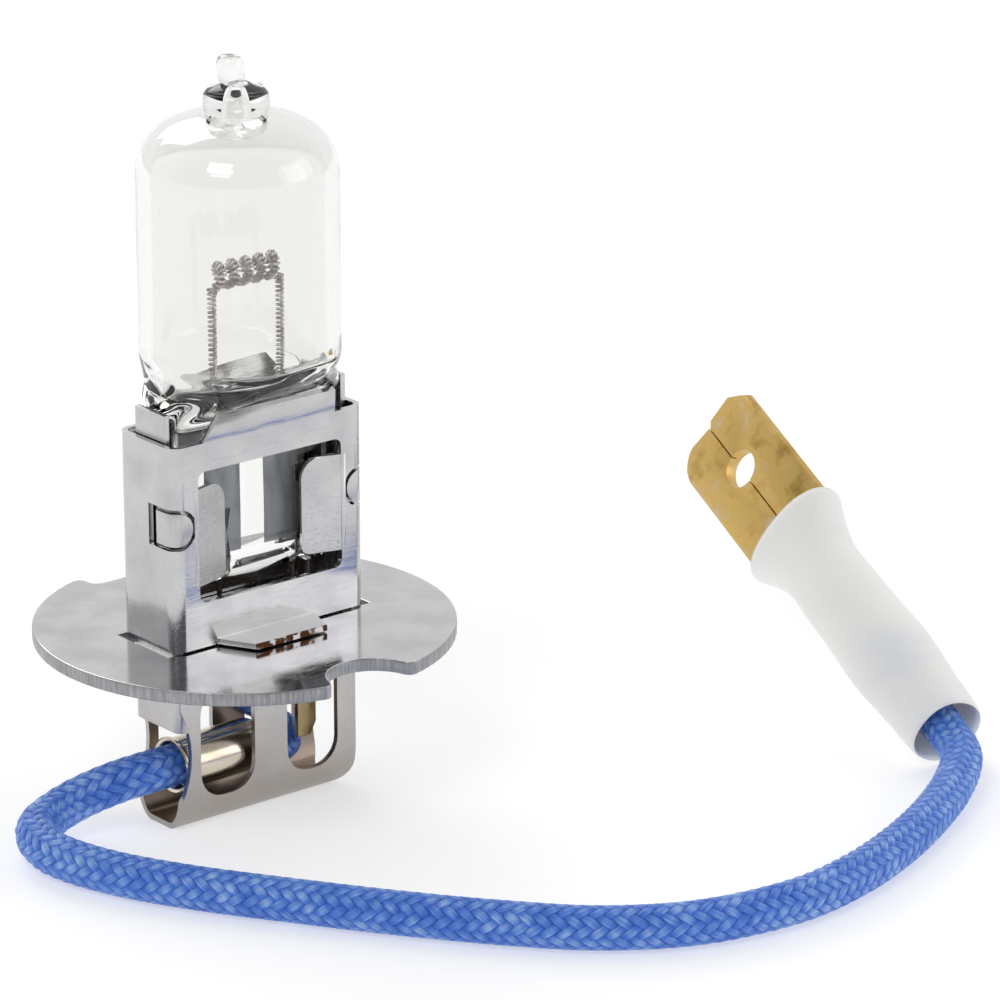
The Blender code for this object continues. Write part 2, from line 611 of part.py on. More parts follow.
def ground_tab():
    width, thickness, length = GROUND_TAB_SIZE
    left = GROUND_LEAD_X - LEAD_RADIUS
    top = FLANGE_TOP + GROUND_TAB_TOP
    outline = [(left, top), (left, top - length), (left + width * 0.7, top - length),
               (left + width, top - length * 0.85), (left + width, top)]
    return upright("ground_tab", outline, -1.5 * LEAD_RADIUS - thickness, -1.5 * LEAD_RADIUS, PARTS)


def live_braid():
    """The short sleeve over the live lead: down from the pinch, round and back to the ferrule."""
    end = FERRULE_LEFT + FERRULE_LENGTH + 2.5 * TOUCH
    start = Vector((LIVE_LEAD_X, 0, FLANGE_TOP + BRAID_TOP))
    last = Vector((end + BRAID_RADIUS, 0, LEAD_AXIS_HEIGHT - CONDUCTOR_RADIUS))
    room = cradle_half()[1] - SHEET - BRAID_RADIUS - FIT
    bends = [Vector((x * MM, across * room, z * MM)) for x, across, z in BRAID_ROUTE]
    route = smooth_route([start, *bends, last], 0.8 * BRAID_RADIUS)
    return wire("live_braid", route, BRAID_RADIUS, PARTS)


# ---------------------------------------------------------------- lead

def turned_along_x(name, profile, collection, sides=ROUND_SIDES):
    """A closed profile of (distance along X, radius), turned about the lead's axis."""
    bm = bmesh.new()
    verts = [bm.verts.new((radius, 0, along)) for along, radius in reversed(profile)]
    for a, b in zip(verts, verts[1:] + verts[:1]):
        bm.edges.new((a, b))
    mesh = bpy.data.meshes.new(name)
    bm.to_mesh(mesh)
    bm.free()
    piece = bpy.data.objects.new(name, mesh)
    collection.objects.link(piece)
    screw = piece.modifiers.new("turn", 'SCREW')
    screw.steps = sides
    screw.render_steps = sides
    screw.use_merge_vertices = True
    screw.merge_threshold = 0.001 * MM
    return piece


def lead_ferrule():
    length, wall = FERRULE_LENGTH, FERRULE_RADIUS
    flare = wall + FERRULE_FLARE
    profile = [(0, FERRULE_MOUTH), (0, flare), (FERRULE_MOUTH_DEPTH / 2, wall), (length, wall),
               (length, FERRULE_BORE), (FERRULE_MOUTH_DEPTH, FERRULE_BORE),
               (FERRULE_MOUTH_DEPTH, FERRULE_MOUTH)]
    ferrule = turned_along_x("lead_ferrule", profile, PARTS)
    ferrule.location = (FERRULE_LEFT, 0, LEAD_AXIS_HEIGHT)
    ferrule.rotation_euler = (0, math.pi / 2, 0)
    return ferrule


def lead_conductor():
    start = Vector((FERRULE_LEFT + TOUCH, 0, LEAD_AXIS_HEIGHT))
    end = Vector((FERRULE_LEFT + FERRULE_LENGTH + TOUCH, 0, LEAD_AXIS_HEIGHT))
    return cylinder("lead_conductor", CONDUCTOR_RADIUS, start, end, PARTS, 16)


def terminal_frame():
    """Local X along the terminal, Y across its blade, Z out of the blade's shown face."""
    flat = math.cos(TERMINAL_RISE)
    along = Vector((flat * math.sin(TERMINAL_HEADING), flat * math.cos(TERMINAL_HEADING),
                    math.sin(TERMINAL_RISE)))
    side = Vector((-math.cos(TERMINAL_HEADING), math.sin(TERMINAL_HEADING), 0))
    above = side.cross(along) * -1
    shown = side * math.cos(TERMINAL_ROLL) + above * math.sin(TERMINAL_ROLL)
    across = shown.cross(along)
    frame = Matrix((along, across, shown)).transposed().to_4x4()
    return Matrix.Translation(TERMINAL_START) @ frame


def lead_cord():
    frame = terminal_frame()
    inside = [frame @ Vector((CORD_IN_COVER * share, 0, 0)) for share in (0.5, 1.0)]
    route = smooth_route(CORD_ROUTE + inside, 2.4 * CORD_RADIUS)
    return wire("lead_cord", route, CORD_RADIUS, PARTS)


def cover_ring(distance, inset):
    """The cover's section: round over the cord, oval over the blade."""
    start, end = COVER_FLARE
    share = max(0.0, min(1.0, (distance / COVER_LENGTH - start) / (end - start)))
    ease = share ** 2 * (3 - 2 * share)
    half_y = COVER_ROUND + (COVER_OVAL[0] - COVER_ROUND) * ease - inset
    half_z = COVER_ROUND + (COVER_OVAL[1] - COVER_ROUND) * ease - inset
    return [Vector((distance, p.x, p.y)) for p in squircle(half_y, half_z, 2.2, 0, 32)]


def terminal_cover():
    frame = terminal_frame()
    steps = 20
    outer = [cover_ring(COVER_LENGTH * i / steps, 0) for i in range(steps + 1)]
    inner = [cover_ring(COVER_LENGTH * i / steps, COVER_WALL) for i in range(steps + 1)]
    overrun = Vector((MM, 0, 0))
    inner = [[p - overrun for p in inner[0]], *inner, [p + overrun for p in inner[-1]]]
    cover = loft("terminal_cover", outer, PARTS)
    bore = loft("cover_bore", inner, CUTTERS)
    cover.matrix_world = frame
    bore.matrix_world = frame
    return cut(cover, bore)


def terminal_blade():
    """Brass blade with its stem and the barrel that grips the cord's end."""
    frame = terminal_frame()
    half = BLADE_WIDTH / 2
    tip = COVER_LENGTH + BLADE_LENGTH
    start = COVER_LENGTH + TOUCH
    neck_start = COVER_LENGTH - BLADE_INSIDE
    outline = [(start, -half), (tip - BLADE_CHAMFER, -half), (tip, -half + BLADE_CHAMFER),
               (tip, half - BLADE_CHAMFER), (tip - BLADE_CHAMFER, half), (start, half)]
    blade = plate("terminal_blade", outline, -BLADE_THICKNESS / 2, BLADE_THICKNESS / 2, PARTS)
    blade.matrix_world = frame
    hole = tip - BLADE_HOLE_PLACE
    barrel_start = CORD_IN_COVER + TOUCH
    barrel_end = barrel_start + BARREL_LENGTH
    neck = ((neck_start, -half, -BLADE_NECK / 2), (start + SHEET, half, BLADE_NECK / 2))
    stem = ((barrel_end - SHEET, -BARREL_RADIUS, -BLADE_THICKNESS / 2),
            (neck_start + SHEET, BARREL_RADIUS, BLADE_THICKNESS / 2))
    pieces = ((cut, cylinder("blade_hole", BLADE_HOLE, (hole, 0, -MM), (hole, 0, MM), CUTTERS)),
              (join, box("blade_neck", *neck, CUTTERS)),
              (join, box("blade_stem", *stem, CUTTERS)),
              (join, cylinder("blade_barrel", BARREL_RADIUS, (barrel_start, 0, 0),
                              (barrel_end, 0, 0), CUTTERS)))
    for operate, piece in pieces:
        piece.matrix_world = frame
        operate(blade, piece)
    return blade


# ---------------------------------------------------------------- assembly

for old in list(bpy.data.objects):
    bpy.data.objects.remove(old)

PARTS = bpy.data.collections.new("headlight_bulb")
CUTTERS = bpy.data.collections.new("cutters")
for group in (PARTS, CUTTERS):
    bpy.context.scene.collection.children.link(group)

NICKEL = material("nickel", (0.62, 0.62, 0.62), 0.18, 1.0)
GLASS = material("glass", (1.0, 1.0, 1.0), 0.02, 0.0, 1.0)
TUNGSTEN = material("tungsten", (0.22, 0.22, 0.23), 0.35, 1.0)
FOIL = material("foil", (0.45, 0.46, 0.48), 0.4, 1.0)
FERRULE = material("ferrule", (0.72, 0.69, 0.6), 0.25, 1.0)
COPPER = material("copper", (0.55, 0.27, 0.14), 0.4, 1.0)
BRASS = material("brass", (0.66, 0.5, 0.22), 0.3, 1.0)
BRAID = material("braid", (0.08, 0.24, 0.7), 0.75)
COVER = material("cover", (0.86, 0.87, 0.88), 0.45, 0.0, 0.2)

for piece, finish in ((flange_disc(), NICKEL), (focus_sleeve(), NICKEL), (pinch_cradle(), NICKEL),
                      (glass_envelope(), GLASS), (filament(), TUNGSTEN),
                      (foil("foil_live", FOIL_LIVE), FOIL), (foil("foil_ground", FOIL_GROUND), FOIL),
                      (live_lead(), TUNGSTEN), (ground_lead(), TUNGSTEN), (ground_tab(), BRASS),
                      (live_braid(), BRAID), (lead_ferrule(), FERRULE), (lead_conductor(), COPPER),
                      (lead_cord(), BRAID), (terminal_cover(), COVER), (terminal_blade(), BRASS)):
    piece.data.materials.append(finish)
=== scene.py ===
# %% [markdown]
# # A halogen headlight bulb, dressed for its portrait
# The frame holds every part at its real size. This lesson gives the parts their looks: softened
# sheet metal, solid glass, a coiled coil of tungsten, a woven lead and a folded brass blade.
# All numbers are in metres, so a small constant turns millimetres into them.

# %% Load the frame
import math
from functools import partial

import bmesh
import bpy
from mathutils import Matrix, Vector


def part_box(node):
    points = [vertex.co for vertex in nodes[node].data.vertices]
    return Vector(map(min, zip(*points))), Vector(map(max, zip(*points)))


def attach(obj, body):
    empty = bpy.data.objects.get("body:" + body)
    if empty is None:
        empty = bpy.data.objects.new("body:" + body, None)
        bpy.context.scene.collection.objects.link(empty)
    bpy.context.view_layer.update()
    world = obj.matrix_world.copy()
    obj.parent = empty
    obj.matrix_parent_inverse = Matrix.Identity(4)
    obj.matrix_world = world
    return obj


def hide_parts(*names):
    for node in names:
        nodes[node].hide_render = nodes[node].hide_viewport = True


MM = 0.001
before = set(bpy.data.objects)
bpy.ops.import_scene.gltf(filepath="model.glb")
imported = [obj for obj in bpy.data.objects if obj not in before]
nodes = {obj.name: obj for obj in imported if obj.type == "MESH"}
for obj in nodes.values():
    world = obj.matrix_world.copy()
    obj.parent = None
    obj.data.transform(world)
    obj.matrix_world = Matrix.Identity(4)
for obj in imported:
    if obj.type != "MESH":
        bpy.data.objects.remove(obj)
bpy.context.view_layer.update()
print("parts in the frame:", ", ".join(sorted(nodes)))

# %% [markdown]
# ## A few small tools
# `colour` turns a hex value as a painter would write it into the linear numbers that shaders
# want. `add` puts one node in a tree: settings are its properties, and inputs are either values
# or nodes whose result is linked. `new_finish` starts a material from a Principled shader.
# `mottle` is a cloudy pattern whose blotches have a real size, `tinted` colours a finish by such
# a pattern, and `embossed` turns it into relief. `placed` puts data in the scene as an object,
# and `baked` takes the plain mesh that an object's modifiers or curve make.

# %% Small tools
def placed(name, data):
    piece = bpy.data.objects.new(name, data)
    bpy.context.scene.collection.objects.link(piece)
    return piece


def baked(piece):
    evaluated = piece.evaluated_get(bpy.context.evaluated_depsgraph_get())
    return bpy.data.meshes.new_from_object(evaluated)


def colour(hex_value):
    channels = [int(hex_value[i:i + 2], 16) / 255 for i in (1, 3, 5)]
    linear = [c / 12.92 if c <= 0.04045 else ((c + 0.055) / 1.055) ** 2.4 for c in channels]
    return (*linear, 1.0)


def add(tree, kind, inputs=None, stops=(), **settings):
    node = tree.nodes.new(kind)
    for name, value in settings.items():
        setattr(node, name, value)
    for key, value in (inputs or {}).items():
        if isinstance(value, bpy.types.Node):
            value = value.outputs[0]
        if isinstance(value, bpy.types.NodeSocket):
            tree.links.new(value, node.inputs[key])
        else:
            node.inputs[key].default_value = value
    for i, (place, hex_value) in enumerate(stops):
        if i > 1:
            node.color_ramp.elements.new(place)
        node.color_ramp.elements[i].position = place
        node.color_ramp.elements[i].color = colour(hex_value)
    return node


def new_finish(name, values):
    finish = bpy.data.materials.new(name)
    finish.use_nodes = True
    shader = finish.node_tree.nodes["Principled BSDF"]
    for key, value in values.items():
        shader.inputs[key].default_value = value
    return finish, finish.node_tree, shader


def mottle(tree, size, stretch=(1, 1, 1), detail=4.0, offset=(0, 0, 0)):
    place = add(tree, "ShaderNodeTexCoord").outputs["Object"]
    scaled = add(tree, "ShaderNodeMapping",
                 {"Vector": place, "Scale": [1 / (size * s) for s in stretch], "Location": offset})
    return add(tree, "ShaderNodeTexNoise", {"Vector": scaled, "Scale": 1.0, "Detail": detail})


def tinted(tree, shader, pattern, stops):
    ramp = add(tree, "ShaderNodeValToRGB", {"Fac": pattern}, stops)
    tree.links.new(ramp.outputs["Color"], shader.inputs["Base Color"])


def embossed(tree, shader, pattern, depth, strength=0.5, under=None):
    """Relief of a real depth; under is a coarser relief that this one lies on."""
    sockets = {"Height": pattern, "Distance": depth, "Strength": strength}
    if under:
        sockets["Normal"] = under
    bump = add(tree, "ShaderNodeBump", sockets)
    tree.links.new(bump.outputs["Normal"], shader.inputs["Normal"])
    return bump


def cloudy_metal(name, values, clouds, stops, relief=None):
    """A finish whose tone and relief follow one cloudy pattern, given by its size and stretch."""
    finish, tree, shader = new_finish(name, values)
    pattern = mottle(tree, *clouds)
    tinted(tree, shader, pattern, stops)
    if relief:
        embossed(tree, shader, pattern, *relief)
    return finish


def position(tree):
    """The sockets X, Y and Z of a point on the piece, in metres."""
    place = add(tree, "ShaderNodeTexCoord").outputs["Object"]
    return add(tree, "ShaderNodeSeparateXYZ", {"Vector": place}).outputs


# %% [markdown]
# ## Camera
# A long lens a quarter of a metre away keeps the verticals nearly parallel. The camera is placed
# by the direction from its target back to it, which is easier to reason about than three angles.

# %% Camera
AZIMUTH = math.radians(-39.57)
ELEVATION = math.radians(18.69)
DISTANCE = 267.5 * MM
TARGET = Vector((11.45, -6.91, 15.81)) * MM
SENSOR_WIDTH = 36.0
LENS = 185.8

back = Vector((math.sin(AZIMUTH) * math.cos(ELEVATION),
               -math.cos(AZIMUTH) * math.cos(ELEVATION), math.sin(ELEVATION)))
camera = placed("camera", bpy.data.cameras.new("camera"))
camera.data.sensor_width = SENSOR_WIDTH
camera.data.lens = LENS
camera.data.clip_start = 10 * MM
camera.data.clip_end = 20.0
camera.location = TARGET + back * DISTANCE
camera.rotation_euler = (-back).to_track_quat('-Z', 'Y').to_euler()
bpy.context.scene.camera = camera
print("camera stands at", [round(c / MM, 1) for c in camera.location], "mm")

# %% [markdown]
# ## Light, floor and surroundings
# Bright metal and clear glass have hardly any colour of their own: they show what is round them.
# So the surroundings are made first. The floor is a white sweep that glows a little, the air is
# white, and only the side behind the camera is grey, as a real studio is. That grey side is what
# draws the glass.

# %% Floor
FLOOR_HALF = 3.0
floor_mesh = bpy.data.meshes.new("floor")
floor = placed("floor", floor_mesh)
corners = [(x * FLOOR_HALF, y * FLOOR_HALF, 0) for x, y in ((-1, -1), (1, -1), (1, 1), (-1, 1))]
floor_mesh.from_pydata(corners, [], [(0, 1, 2, 3)])
white_sweep, _, _ = new_finish("white_sweep", {
    "Base Color": colour("#C6C6C6"), "Roughness": 0.9, "Emission Color": colour("#FFFFFF"),
    "Emission Strength": 0.5})
floor_mesh.materials.append(white_sweep)

# %% World
AIR = "#FFFFFF"
DARK_SIDE = "#85878B"
world = bpy.data.worlds.new("studio")
world.use_nodes = True
bpy.context.scene.world = world
sky = world.node_tree
heading = add(sky, "ShaderNodeTexCoord").outputs["Generated"]
towards = add(sky, "ShaderNodeVectorMath", {0: heading, 1: back}, operation='DOT_PRODUCT')
share = add(sky, "ShaderNodeMapRange", {"Value": towards.outputs["Value"], "From Min": -0.2,
                                        "From Max": 0.75}, interpolation_type='SMOOTHSTEP')
air = add(sky, "ShaderNodeValToRGB", {"Fac": share}, ((0.0, AIR), (1.0, DARK_SIDE)))
sky.links.new(air.outputs["Color"], sky.nodes["Background"].inputs["Color"])
sky.nodes["Background"].inputs["Strength"].default_value = 0.92


# %% Lamps
def soft_box(name, place, size, power):
    """A square lamp that looks at the bulb."""
    lamp = bpy.data.lights.new(name, 'AREA')
    lamp.size = size
    lamp.energy = power
    holder = placed(name, lamp)
    holder.location = place
    holder.rotation_euler = (TARGET - Vector(place)).to_track_quat('-Z', 'Y').to_euler()


soft_box("key", (-0.45, -0.25, 0.5), 0.3, 1.5)
soft_box("fill", (0.42, -0.51, 0.24), 0.45, 1.0)
soft_box("rim", (0.15, 0.5, 0.4), 0.3, 0.8)
bpy.context.scene.view_settings.view_transform = 'Standard'
print("surroundings are ready")

# %% [markdown]
# ## The lead's route
# The lead is a stiff, heat-proof wire in a woven sleeve. It leaves the ferrule level, drops to the
# ground, turns once round the front and climbs into the terminal's cover. Its route is a list of
# chosen points, and a Catmull-Rom curve through them keeps the bends soft.

# %% Route
LEAD_POINTS = [Vector(p) * MM for p in (
    (-5.2, 0.0, 3.05), (-6.6, 0.0, 3.05), (-8.1, 0.5, 2.75), (-9.7, 1.3, 2.1),
    (-11.2, 1.6, 1.5), (-12.7, 0.9, 1.25), (-13.6, -0.8, 1.2), (-13.8, -3.0, 1.2),
    (-12.9, -6.4, 1.2), (-10.9, -10.4, 1.2), (-8.1, -14.8, 1.2), (-5.2, -19.1, 1.2),
    (-2.1, -23.2, 1.2), (1.3, -26.9, 1.2), (5.6, -29.5, 1.2), (10.9, -30.5, 1.2),
    (15.6, -29.9, 1.2), (19.9, -28.5, 1.2), (24.0, -26.6, 1.2), (27.6, -24.5, 1.3),
    (30.1, -22.5, 1.6), (31.2, -20.3, 2.05))]
INTO_FERRULE = 0.9 * MM
INTO_COVER = 4.6 * MM


def smooth_route(points, spacing):
    """Even steps along a Catmull-Rom curve through the points."""
    dense = []
    padded = [2 * points[0] - points[1], *points, 2 * points[-1] - points[-2]]
    for a, b, c, d in zip(padded, padded[1:], padded[2:], padded[3:]):
        for i in range(24):
            t = i / 24
            dense.append(0.5 * (2 * b + (c - a) * t + (2 * a - 5 * b + 4 * c - d) * t ** 2
                                + (3 * b - a - 3 * c + d) * t ** 3))
    dense.append(points[-1])
    lengths = [0.0]
    for p, q in zip(dense, dense[1:]):
        lengths.append(lengths[-1] + (q - p).length)
    count = round(lengths[-1] / spacing)
    route, k = [], 0
    for i in range(count + 1):
        goal = lengths[-1] * i / count
        while k < len(lengths) - 2 and lengths[k + 1] < goal:
            k += 1
        part = (goal - lengths[k]) / (lengths[k + 1] - lengths[k])
        route.append(dense[k].lerp(dense[k + 1], part))
    return route


def route_length(route):
    return sum((q - p).length for p, q in zip(route, route[1:]))


# %% [markdown]
# The terminal lies at the lead's far end with its blade up. Three angles turn a small frame of
# its own: X along the terminal, Y across the blade and Z out of the face that is seen.

# %% Terminal frame
HEADING = math.radians(12.5)
RISE = math.radians(20.4)
ROLL = math.radians(27)
along = Vector((math.cos(RISE) * math.sin(HEADING), math.cos(RISE) * math.cos(HEADING),
                math.sin(RISE)))
side = Vector((-math.cos(HEADING), math.sin(HEADING), 0))
above = along.cross(side)
shown = side * math.cos(ROLL) + above * math.sin(ROLL)
terminal_place = Matrix((along, shown.cross(along), shown)).transposed().to_4x4()
terminal_place = Matrix.Translation(LEAD_POINTS[-1]) @ terminal_place

ends = [LEAD_POINTS[0] + Vector((INTO_FERRULE, 0, 0))], [
    terminal_place @ Vector((INTO_COVER * part, 0, 0)) for part in (0.5, 1.0)]
lead_route = smooth_route(ends[0] + LEAD_POINTS + ends[1], 0.5 * MM)
print("the lead is", round(route_length(lead_route) / MM, 1), "mm long")


# %% [markdown]
# ## Making a finished piece
# Most pieces are built in a small mesh and end the same way: the mesh becomes an object at the
# origin, rides on the bulb, names its finish and hides the plain part that it stands for.

# %% Finished piece
def finished(name, mesh, finish, replaced=(), sharp=None):
    """An object from a mesh; sharp is the angle past which an edge stays crisp."""
    mesh.materials.clear()
    mesh.materials.append(finish)
    if sharp is not None:
        mesh.shade_smooth()
        mesh.set_sharp_from_angle(angle=math.radians(sharp))
    piece = placed(name, mesh)
    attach(piece, "root")
    if replaced:
        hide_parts(*replaced)
    return piece


def mesh_of(bm, name):
    bmesh.ops.recalc_face_normals(bm, faces=bm.faces)
    mesh = bpy.data.meshes.new(name)
    bm.to_mesh(mesh)
    bm.free()
    return mesh


def loft(bm, rings, endless=False):
    """Skin rings of equal count. Ends are closed, or, if endless, the last ring meets the first."""
    loops = [[bm.verts.new(p) for p in ring] for ring in rings]
    count = len(loops[0])
    for lower, upper in zip(loops, loops[1:] + (loops[:1] if endless else [])):
        for i in range(count):
            j = (i + 1) % count
            bm.faces.new((lower[i], lower[j], upper[j], upper[i]))
    if not endless:
        bm.faces.new(list(reversed(loops[0])))
        bm.faces.new(loops[-1])


# %% [markdown]
# ## Nickel-plated steel
# The flange, sleeve and cradle are stamped from thin steel strip and plated with bright nickel.
# Nickel is a plain grey mirror. Rolling leaves the strip a little wavy, so reflections wobble, and
# the tools leave short scratches where the metal was drawn round a corner. Where a part is cut
# rather than rolled, as on the flange's rim, it is duller and finely grained.

# %% Nickel
NICKEL = "#C7C6C7"
NICKEL_SHADE = "#B9B8BA"
CUT_EDGE = "#8E8E91"
SATIN = "#D6D5D5"
RUST = "#6E4A30"
# painted shade for the yoke's foot, a darker brownish grey
FOOT_PAINTED_SHADE = "#A39B93"
# painted shade for the faces that look into the yoke
INSIDE_PAINTED_SHADE = "#8A7C70"
SCRATCH_WIDTH = 0.09 * MM
SCRATCH_DEPTH = 0.004 * MM


def nickel_steel(name, grain, waviness, scratch_turn):
    """Plated strip. Grain is the roughness, scratch_turn the axis that the scratches run along."""
    finish, tree, shader = new_finish(name, {"Metallic": 1.0, "Roughness": grain})
    clouds = mottle(tree, 2.5 * MM)
    tinted(tree, shader, clouds, ((0.35, NICKEL_SHADE), (0.6, NICKEL)))
    stretch = [14.0 if axis == scratch_turn else 1.0 for axis in range(3)]
    scratches = mottle(tree, SCRATCH_WIDTH, stretch, 2.0)
    worn = add(tree, "ShaderNodeMapRange", {"Value": scratches, "From Min": 0.45, "From Max": 0.8,
                                            "To Min": grain, "To Max": grain + 0.22})
    tree.links.new(worn.outputs["Result"], shader.inputs["Roughness"])
    waves = mottle(tree, 3.2 * MM, (1, 1, 1), 1.0)
    wavy = embossed(tree, shader, waves, waviness, 0.6)
    embossed(tree, shader, scratches, SCRATCH_DEPTH, 0.5, wavy)
    return finish, tree, shader


def stain_and_shade(tree, shader, mask, hex_value, grain):
    """Lay a duller colour over a finish where the mask is 1, for real stains and wear and also for
    painted shade.
    """
    for socket, value, kind in (("Base Color", colour(hex_value), 'RGBA'),
                                ("Roughness", grain, 'FLOAT')):
        under = shader.inputs[socket].links[0].from_socket
        mix = tree.nodes.new("ShaderNodeMix")
        mix.data_type = kind
        factor, below, over = (next(i for i in mix.inputs if i.name == name and i.enabled)
                               for name in ("Factor", "A", "B"))
        over.default_value = value
        tree.links.new(mask, factor)
        tree.links.new(under, below)
        result = next(o for o in mix.outputs if o.enabled)
        tree.links.new(result, shader.inputs[socket])


flange_nickel, flange_tree, flange_shader = nickel_steel(
    "nickel_plated_flange", 0.07, 0.02 * MM, 0)
sleeve_nickel, sleeve_tree, sleeve_shader = nickel_steel(
    "nickel_plated_sleeve", 0.14, 0.12 * MM, 0)
cradle_nickel, cradle_tree, cradle_shader = nickel_steel(
    "nickel_plated_cradle", 0.2, 0.12 * MM, 2)

# the rim of the flange is a cut edge: upright faces are duller, with upright strokes
facing = add(flange_tree, "ShaderNodeSeparateXYZ", {
    "Vector": add(flange_tree, "ShaderNodeNewGeometry").outputs["True Normal"]})
upright = add(flange_tree, "ShaderNodeMath", {0: facing.outputs["Z"], 1: 0.0, 2: 0.5},
              operation='COMPARE')
strokes = mottle(flange_tree, 0.12 * MM, (1, 1, 12), 2.0)
rim = add(flange_tree, "ShaderNodeMath", {0: upright, 1: add(flange_tree, "ShaderNodeMapRange", {
    "Value": strokes, "From Min": 0.3, "From Max": 0.7, "To Min": 0.5, "To Max": 1.0})},
          operation='MULTIPLY')
stain_and_shade(flange_tree, flange_shader, rim.outputs[0], CUT_EDGE, 0.5)

# the weld lug is satin from the welding, and its cut front edge has rusted in spots
LUG_ROOT = -2.5 * MM
LUG_EDGE = -4.3 * MM
LUG_TOP = 11 * MM
spot = position(sleeve_tree)
low_down = add(sleeve_tree, "ShaderNodeMath", {0: spot["Z"], 1: LUG_TOP}, operation='LESS_THAN')
on_lug = add(sleeve_tree, "ShaderNodeMath", {0: spot["Y"], 1: LUG_ROOT}, operation='LESS_THAN')
lug_area = add(sleeve_tree, "ShaderNodeMath", {0: low_down, 1: on_lug}, operation='MULTIPLY')
stain_and_shade(sleeve_tree, sleeve_shader, lug_area.outputs[0], SATIN, 0.42)
beyond = add(sleeve_tree, "ShaderNodeMath", {0: spot["Y"], 1: LUG_EDGE}, operation='LESS_THAN')
rust_spots = add(sleeve_tree, "ShaderNodeMapRange", {
    "Value": mottle(sleeve_tree, 0.5 * MM), "From Min": 0.42, "From Max": 0.52})
rusty = add(sleeve_tree, "ShaderNodeMath", {0: beyond, 1: rust_spots}, operation='MULTIPLY')
stain_and_shade(sleeve_tree, sleeve_shader, rusty.outputs[0], RUST, 0.7)

# painted shade: the yoke turns darker and browner towards its foot
foot = add(cradle_tree, "ShaderNodeMapRange", {
    "Value": position(cradle_tree)["Z"], "From Min": 8 * MM, "From Max": 1 * MM, "To Min": 0.1,
    "To Max": 0.8})
stain_and_shade(cradle_tree, cradle_shader, foot.outputs["Result"], FOOT_PAINTED_SHADE, 0.3)

# inside the yoke, faces that look inwards get painted shade, a darker brownish grey
inward_shade_mask = add(cradle_tree, "ShaderNodeAttribute", attribute_name="inside").outputs["Fac"]
stain_and_shade(cradle_tree, cradle_shader, inward_shade_mask, INSIDE_PAINTED_SHADE, 0.36)


# %% [markdown]
# ## Softened sheet metal
# The frame's sheet metal has perfect edges, which real strip never has: a stamped edge is rolled
# over a little and catches a line of light. Each part is copied, its loose triangles are merged
# into clean faces, and every sharp edge gets a tiny bevel. Weighted normals then keep the flat
# faces flat. Faces that look inwards below the flange are marked, to be given painted shade.

# %% Softened copies
# the yoke's painted shade reaches up to the flange's underside
SHADE_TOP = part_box("flange_disc")[0].z


def rolled_edges(bm, angle, offset, loop_slide):
    """Merge what is flat, then bevel the edges that turn by more than an angle in degrees."""
    bmesh.ops.remove_doubles(bm, verts=bm.verts, dist=0.0005 * MM)
    bmesh.ops.dissolve_limit(bm, angle_limit=math.radians(0.6), verts=bm.verts, edges=bm.edges)
    sharp = [e for e in bm.edges
             if len(e.link_faces) == 2 and e.calc_face_angle() > math.radians(angle)]
    bmesh.ops.bevel(bm, geom=sharp, offset=offset, segments=2, profile=0.6, affect='EDGES',
                    clamp_overlap=True, loop_slide=loop_slide)


def softened(node, name, finish, edge):
    bm = bmesh.new()
    bm.from_mesh(nodes[node].data)
    rolled_edges(bm, 40, edge, True)
    bmesh.ops.remove_doubles(bm, verts=bm.verts, dist=0.0005 * MM)
    # faces that look inwards below the flange are marked for the yoke's painted shade
    inside = bm.faces.layers.float.new("inside")
    for face in bm.faces:
        spot = face.calc_center_median()
        outwards = spot.x * face.normal.x + spot.y * face.normal.y
        looks_in = outwards < -0.5 * MM or (face.normal.z > 0.5 and spot.z < SHADE_TOP - MM)
        face[inside] = float(looks_in and spot.z < SHADE_TOP)
    mesh = bpy.data.meshes.new(name)
    bm.to_mesh(mesh)
    bm.free()
    piece = finished(name, mesh, finish, [node], sharp=48)
    weighted = piece.modifiers.new("flat faces", 'WEIGHTED_NORMAL')
    weighted.keep_sharp = True
    print(name, "has", len(mesh.polygons), "faces")
    return piece


softened("flange_disc", "flange_plate", flange_nickel, 0.06 * MM)
softened("focus_sleeve", "sleeve_shell", sleeve_nickel, 0.045 * MM)
softened("pinch_cradle", "cradle_shell", cradle_nickel, 0.045 * MM)

# %% [markdown]
# ## Growing a mesh from a route
# Three things here are wound or woven along a line: the lead's sleeve, the filament and the
# copper strands. Geometry Nodes do that well: a tree takes the line, copies it once for each
# strand, and moves every copy's points round the line by a formula. `named_tree` starts such a
# tree with its sizes as named inputs, and `grown` runs it and keeps only the plain mesh.

# %% Trees that follow a line
def named_tree(name, sizes):
    """A geometry tree with a line as its first input, then the named sizes and a finish."""
    tree = bpy.data.node_groups.new(name, 'GeometryNodeTree')
    tree.interface.new_socket("Line", in_out='INPUT', socket_type='NodeSocketGeometry')
    for size in sizes:
        kind = 'NodeSocketInt' if size == "Strands" else 'NodeSocketFloat'
        tree.interface.new_socket(size, in_out='INPUT', socket_type=kind)
    tree.interface.new_socket("Finish", in_out='INPUT', socket_type='NodeSocketMaterial')
    tree.interface.new_socket("Mesh", in_out='OUTPUT', socket_type='NodeSocketGeometry')
    return tree, add(tree, "NodeGroupInput").outputs


def calculate(tree, operation, *values):
    return add(tree, "ShaderNodeMath", dict(enumerate(values)), operation=operation)


def even_steps(tree, size):
    line = add(tree, "GeometryNodeMeshToCurve", {0: size["Line"]})
    return add(tree, "GeometryNodeResampleCurve", {"Curve": line, "Length": size["Step"]},
               mode='LENGTH')


